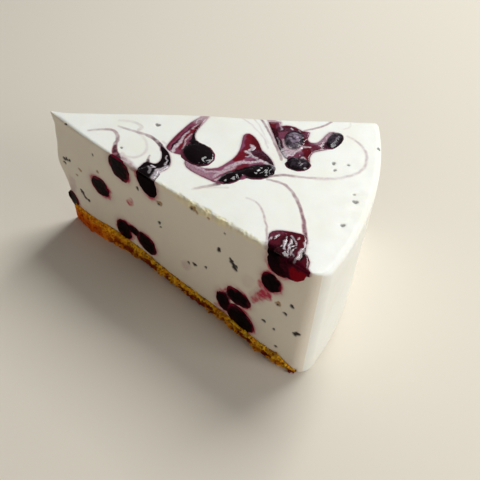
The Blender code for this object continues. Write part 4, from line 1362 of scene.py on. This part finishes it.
def make_jam():
    made, tree, shader = new_finish(
        "wet_jam", Roughness=0.5, IOR=1.1, Specular_IOR_Level=0.2, Coat_Roughness=0.03,
        Coat_IOR=1.38, Subsurface_Weight=0.08, Subsurface_Radius=(1.0, 0.3, 0.3),
        Subsurface_Scale=1.0 * MM)
    mauve, red, dark, white = kept(tree, "stains")
    wet, smooth, painted_glow, lilac = kept(tree, "skin")
    clouds = between(tree, grain(tree, 1.6 * MM, detail=4.0, shift=4.0), 0.3, 0.7)
    colour = tint(tree, clouds, JAM_DEEP, JAM_CLEAR)
    breaking = between(tree, grain(tree, 0.55 * MM, detail=4.0, shift=1.0), 0.25, 0.62, 0.55, 1.05)
    veins = grain(tree, 0.9 * MM, detail=5.0, shift=7.0, stretch=(1, 1, 0.3))
    veins = between(tree, veins, 0.35, 0.65, 0.75, 1.0)
    colour = tint(tree, times(tree, mauve, veins), colour, JAM_MAUVE)
    colour = tint(tree, times(tree, red, breaking), colour, JAM_RED)
    black = larger(tree, times(tree, dark, breaking), between(tree, dark, 0.7, 0.97))
    colour = tint(tree, black, colour, JAM_BLACK)
    marbled = between(tree, grain(tree, 0.9 * MM, detail=4.0, shift=9.0), 0.38, 0.6, 0.2, 1.0)
    colour = tint(tree, times(tree, lilac, marbled), colour, BLOOM)
    # painted light: red jam on the cut side is brightened, a glow of light shining through it
    colour = tint(tree, between(tree, times(tree, painted_glow, breaking), 0.3, 1.0), colour, JAM_PAINTED_GLOW)
    streaks = between(tree, grain(tree, 0.45 * MM, detail=5.0, shift=14.0), 0.34, 0.6, 0.42, 1.0)
    pale = larger(tree, times(tree, white, streaks), between(tree, white, 0.88, 1.0))
    # white stain: pale marbling and, in places, painted glints
    colour = tint(tree, pale, colour, JAM_WHITE_AND_GLINT)
    tree.links.new(colour, shader.inputs["Base Color"])
    tree.links.new(wet, shader.inputs["Coat Weight"])
    rough = times(tree, grain(tree, 0.8 * MM, detail=4.0, shift=2.0),
                  between(tree, smooth, 0.0, 1.0, 1.0, 0.12))
    rough_up(tree, shader, rough, 0.08 * MM)
    return made


jam_finish = make_jam()
for pool in pools.values():
    pool.data.materials.append(jam_finish)
print("jam finish on", len(pools), "pools")

# %% [markdown]
# ## Berries
# The whole berries are part of the pools. Where the knife met a berry, it left a flat face
# with a red skin round it. So a cut berry is a fine uneven ball whose outer half is pressed
# onto the knife's plane, which leaves many points at the rim for the red of the skin.

# %% Berries on the cuts
PROUD = 0.20 * MM
WRINKLE = 0.2
IN_A_POOL = (4, 12)


def ball(name, radii, turn, centre, seed, fineness):
    """An uneven ball, turned and set in its place."""
    bpy.ops.object.select_all(action='DESELECT')
    bpy.ops.mesh.primitive_ico_sphere_add(subdivisions=fineness, radius=1.0)
    berry = bpy.context.object
    berry.name = name
    way = places_of(berry)
    uneven = 1 + WRINKLE * lumps(way, 0.75, 3.7 * seed)
    uneven = uneven + 0.45 * WRINKLE * lumps(way, 0.3, 5.1 * seed)
    move_to(berry, way * uneven[:, None] * radii @ np.array(turn) + centre)
    return berry


def cut_berry(name, side, row, seed, fineness):
    distance, height, wide, high, tilt, reach = row
    angle = math.radians(tilt)
    along, out = along_cut(side), out_of_cut(side)
    up = np.array((0.0, 0.0, 1.0))
    turn = [along * math.cos(angle) + up * math.sin(angle),
            up * math.cos(angle) - along * math.sin(angle), out]
    centre = np.array((TIP_X, 0, height * MM)) + along * distance * MM
    berry = ball(name, np.array((wide, high, reach)) * 1.05 * MM, turn, centre, seed, fineness)
    places = places_of(berry)
    proud = PROUD + 0.03 * MM * (seed % 4)
    off = (places - centre) @ out
    face = off > proud
    places -= np.outer(np.maximum(off - proud, 0), out)
    inward = np.clip(off / (reach * MM), 0, 1)
    wander_here = lumps(places, 1.8 * MM, 2.0 * seed)
    skin = np.exp(-(inward / (0.34 + 0.22 * wander_here)) ** 2)
    rim = np.where(face, skin * np.clip(0.5 + 1.3 * wander_here, 0, 1), 0.3)
    dimple = (0.05 * lumps(places, 1.3 * MM, seed) - 0.04) * ease(inward / 0.4)
    places += np.outer(dimple * MM, out)
    past_far = np.maximum((places - (TIP_X, 0, 0)) @ out_of_cut(-side) - PROUD, 0)
    places -= np.outer(past_far, out_of_cut(-side))
    ceiling = CAKE_HEIGHT - (0.06 if side == NEAR else 1.0) * MM
    move_to(berry, np.clip(sag(places), (-1, -1, 0), (1, 1, ceiling)))
    store(berry, "skin", rim)
    return berry


berries = {}
for i, row in enumerate(NEAR_BERRIES, start=1):
    if i not in IN_A_POOL:
        berries[f"berry_near_{i}"] = cut_berry(f"cut_berry_near_{i}", NEAR, row, i, 6)
for i, row in enumerate(FAR_BERRIES, start=1):
    berries[f"berry_far_{i}"] = cut_berry(f"cut_berry_far_{i}", FAR, row, i + 20, 5)
print("cut berries:", len(berries), "with", sum(map(triangles, berries.values())), "triangles")

# %% Berries: ride and stand for their solids
for name, berry in berries.items():
    only(berry)
    bpy.ops.object.shade_smooth_by_angle(angle=math.radians(60))
    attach(berry, "root")
    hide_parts(name)
print("berries:", len(berries))

# %% [markdown]
# A cut berry is nearly black, with a wine red edge where light comes through the skin. The
# knife wiped it, so it is duller than the jam.

# %% Finish: berry
BERRY_BLACK, BERRY_PLUM = (0.002, 0.0004, 0.0008), (0.008, 0.001, 0.003)
BERRY_SKIN = (0.34, 0.008, 0.040)


def make_berry():
    made, tree, shader = new_finish(
        "berry_cut_face", Roughness=0.45, IOR=1.1, Specular_IOR_Level=0.3)
    rim = kept(tree, "skin")[0]
    clouds = between(tree, grain(tree, 1.5 * MM, detail=4.0), 0.4, 0.75)
    colour = tint(tree, clouds, BERRY_BLACK, BERRY_PLUM)
    breaking = between(tree, grain(tree, 0.6 * MM, detail=4.0, shift=1.0), 0.25, 0.62, 0.5, 1.05)
    colour = tint(tree, times(tree, rim, breaking), colour, BERRY_SKIN)
    tree.links.new(colour, shader.inputs["Base Color"])
    rough_up(tree, shader, grain(tree, 0.7 * MM, detail=4.0, shift=6.0), 0.08 * MM)
    return made


cut_finish = make_berry()
for berry in berries.values():
    berry.data.materials.append(cut_finish)
print("berry finish on", len(berries), "berries")

# %% [markdown]
# ## The crumb crust
# The crust is pressed biscuit crumb. It is a low wedge, made by the same spin as the
# filling, and its two cut sides are pushed in and out by a pattern of cells, because a
# knife breaks crumbs apart and doesn't slice them. Loose crumbs are then stuck on.

# %% Crust: spun slab with broken sides
CRUST_REACH = CAKE_RADIUS - SKIRT
SLAB = 10 * MM

crust = spun_wedge("crumb_base", CRUST_REACH, SLAB, cells=(300, 26), turns=20, merge=0.06 * MM)
edit_faces(crust, face_normals(crust)[:, 2] > 0.9)
bpy.ops.mesh.dissolve_faces(use_verts=True)
stop_editing()
print("crust spun:", triangles(crust), "triangles")


def cell_depth(places, size, shift):
    """1 in the middle of a crumb and 0 at its edge, for crumbs of this size."""
    away = Vector((shift, shift * 0.3, shift * 1.9))
    near_two = [noise.voronoi(Vector(p) / size + away)[0][:2] for p in places]
    return np.array([min((b - a) * 1.6, 1.0) for a, b in near_two])


def crumble(places):
    """Lay the slab under the filling and break its sides."""
    reach, angle = about_tip(places)
    from_tip = places[:, 0] - TIP_X
    part = np.clip(places[:, 2] / SLAB, 0, 1)
    roof = crust_top(from_tip)
    side = np.where(angle < 0, NEAR, FAR)
    off_cut = off_knife(reach, angle, side)
    broken = off_cut < 0.02 * MM
    ragged = 0.45 * lumps(places, 3.2 * MM, 2.0) + 0.3 * lumps(places, 1.3 * MM, 5.0)
    top = roof + np.where(broken, 0.25 + ragged, 0.0) * MM
    laid = places.copy()
    laid[:, 2] = part * top
    straight = laid.copy()
    laid = sag(laid)
    spots = straight[broken]
    big = cell_depth(spots, 2.3 * MM, 1.0)
    small = cell_depth(spots, 0.9 * MM, 4.0)
    hollow = lumps(spots, 3.4 * MM, 7.0)
    stand = 0.10 + 0.62 * big + 0.30 * small
    stand = stand - 0.55 * np.clip(hollow, 0, 1) * (1 - spots[:, 2] / (9 * MM))
    stand *= ease(reach[broken] / (4 * MM)) * 0.8 + 0.2
    stand *= 1 - 0.5 * ease((spots[:, 2] - roof[broken] + 0.6 * MM) / (0.8 * MM))
    laid[broken] += out_of_cut(side[broken]) * (stand * MM)[:, None]
    gaps, hollows = np.zeros((2, len(places)))
    gaps[broken] = small
    hollows[broken] = np.clip(hollow, 0, 1)
    level = laid[:, 2] / np.maximum(roof, 1e-6)
    laid[:, 2] = np.maximum(laid[:, 2], 0)
    return laid, (gaps, hollows, level)


laid, crumb_amounts = crumble(places_of(crust))
move_to(crust, laid)
store(crust, "crumbs", *crumb_amounts)
print("crust stands to", (laid.min(0) / MM).round(2), (laid.max(0) / MM).round(2))

# %% Crust: loose crumbs on the broken sides
CRUMB_COUNT = 620
pick = np.random.default_rng(21)
bpy.ops.object.select_all(action='DESELECT')
crumb_objects = []
bpy.ops.mesh.primitive_ico_sphere_add(subdivisions=1, radius=1.0)
first_crumb = bpy.context.object
pattern = places_of(first_crumb)
for i in range(CRUMB_COUNT):
    side = NEAR if i % 2 else FAR
    distance = pick.uniform(2.5, 96.0) * MM
    roof = float(crust_top(distance * math.cos(HALF)))
    level = pick.choice([pick.uniform(0.06, 0.98), pick.uniform(0.75, 1.06)])
    size = pick.uniform(0.22, 0.62) * MM * (1.0 if pick.uniform() < 0.85 else 1.5)
    shape = pattern * (1 + 0.35 * pick.standard_normal((len(pattern), 1)).clip(-1, 1))
    shape = shape * size * pick.uniform(0.7, 1.25, 3)
    spin = np.array(Matrix.Rotation(pick.uniform(0, 6.28), 3, Vector(pick.standard_normal(3))))
    height = max(level * roof, size * 0.9)
    spot = sag(np.array([[TIP_X, 0, height]]) + along_cut(side) * distance)[0]
    spot = spot + out_of_cut(side) * (pick.uniform(0.25, 0.62) * MM)
    crumb = bpy.data.objects.new(f"crumb_{i}", first_crumb.data.copy())
    bpy.context.scene.collection.objects.link(crumb)
    chip = shape @ spin + spot
    chip[:, 2] = np.maximum(chip[:, 2], 0)
    move_to(crumb, chip)
    shade = pick.uniform()
    store(crumb, "crumbs", shade, 0.0, level)
    crumb_objects.append(crumb)
bpy.data.objects.remove(first_crumb, do_unlink=True)
only(crumb_objects[0])
for crumb in crumb_objects:
    crumb.select_set(True)
bpy.ops.object.join()
loose = bpy.context.object
loose.name = "loose_crumbs"
print("loose crumbs:", CRUMB_COUNT, "with", triangles(loose), "triangles")

# %% [markdown]
# Baked crumb is golden brown with darker sugar and toasted bits. Its cells say where each
# crumb is, so every crumb can be a little lighter or darker. The gaps between crumbs and
# the hollows in the broken sides are painted dark, as painted shade.

# %% Finish: crumb
CRUMB_BROWN, CRUMB_GOLD = (0.74, 0.24, 0.004), (0.98, 0.49, 0.012)
CRUMB_ORANGE, CRUMB_YELLOW = (0.98, 0.29, 0.006), (0.96, 0.62, 0.03)
CRUMB_PALE, CRUMB_TOASTED = (0.86, 0.50, 0.045), (0.20, 0.055, 0.008)
CRUMB_RUST_AND_LOW_SHADE, CRUMB_HOLLOW_SHADE = (0.24, 0.020, 0.004), (0.10, 0.022, 0.005)
CRUMB_DARK_AND_GAP_SHADE = (0.12, 0.035, 0.006)
TIP_ORANGE_AND_PAINTED_LIGHT, TIP_RED = (1.0, 0.32, 0.008), (0.85, 0.12, 0.006)


def make_crumb():
    made, tree, shader = new_finish(
        "baked_crumb", Roughness=0.8, IOR=1.2, Specular_IOR_Level=0.4)
    small, hollow, level, _ = kept(tree, "crumbs")
    here = add_node(tree, 'ShaderNodeTexCoord').outputs["Object"]
    along = add_node(tree, 'ShaderNodeSeparateXYZ', sockets={0: here}).outputs[0]
    at_tip = between(tree, along, -22 * MM, -44 * MM)
    toast = between(tree, grain(tree, 2.6 * MM, detail=3.0), 0.3, 0.7)
    colour = tint(tree, toast, CRUMB_BROWN, CRUMB_GOLD)
    colour = tint(tree, times(tree, at_tip, 0.75), colour, CRUMB_ORANGE)
    golden = between(tree, grain(tree, 2.0 * MM, shift=11.0), 0.35, 0.6)
    golden = times(tree, between(tree, level, 0.5, 0.85), golden)
    colour = tint(tree, times(tree, golden, 0.8), colour, CRUMB_YELLOW)
    cells, shades = crumbs_pattern(tree, 0.8 * MM)
    shade = add_node(tree, 'ShaderNodeSeparateColor', sockets={0: shades}).outputs[0]
    colour = tint(tree, between(tree, shade, 0.6, 1.0, 0.0, 0.5), colour, CRUMB_PALE)
    colour = tint(tree, between(tree, shade, 0.35, 0.0, 0.0, 0.75), colour, CRUMB_TOASTED)
    patches = between(tree, grain(tree, 4.2 * MM, detail=4.0, shift=6.0), 0.45, 0.54)
    # the red-brown patches are kept to the lower crust, so it is darker towards the bottom: partly
    # the crust's own patches, partly painted shade
    low = between(tree, level, 0.9, 0.4)
    colour = tint(tree, times(tree, patches, low), colour, CRUMB_RUST_AND_LOW_SHADE)
    # painted shade in the hollows pushed into the broken sides
    colour = tint(tree, times(tree, hollow, 0.6), colour, CRUMB_HOLLOW_SHADE)
    # painted shade in the gaps between crumbs; on loose crumbs this darkens some at random
    colour = tint(tree, between(tree, small, 0.22, 0.0, 0.0, 0.7), colour, CRUMB_DARK_AND_GAP_SHADE)
    # painted light: the crust at the tip is lifted towards orange, partly its own colour, partly to
    # make up for the dim light there
    colour = tint(tree, times(tree, at_tip, 0.4), colour, TIP_ORANGE_AND_PAINTED_LIGHT)
    colour = tint(tree, times(tree, times(tree, at_tip, low), 0.55), colour, TIP_RED)
    tree.links.new(colour, shader.inputs["Base Color"])
    height = plus(tree, grain(tree, 0.35 * MM, detail=4.0), times(tree, cells, 0.7))
    rough_up(tree, shader, height, 0.16 * MM)
    return made


crumb_finish = make_crumb()
for piece in (crust, loose):
    piece.data.materials.append(crumb_finish)
    only(piece)
    bpy.ops.object.shade_smooth_by_angle(angle=math.radians(40))
    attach(piece, "root")
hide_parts("crust")
print("crust:", triangles(crust), "triangles")
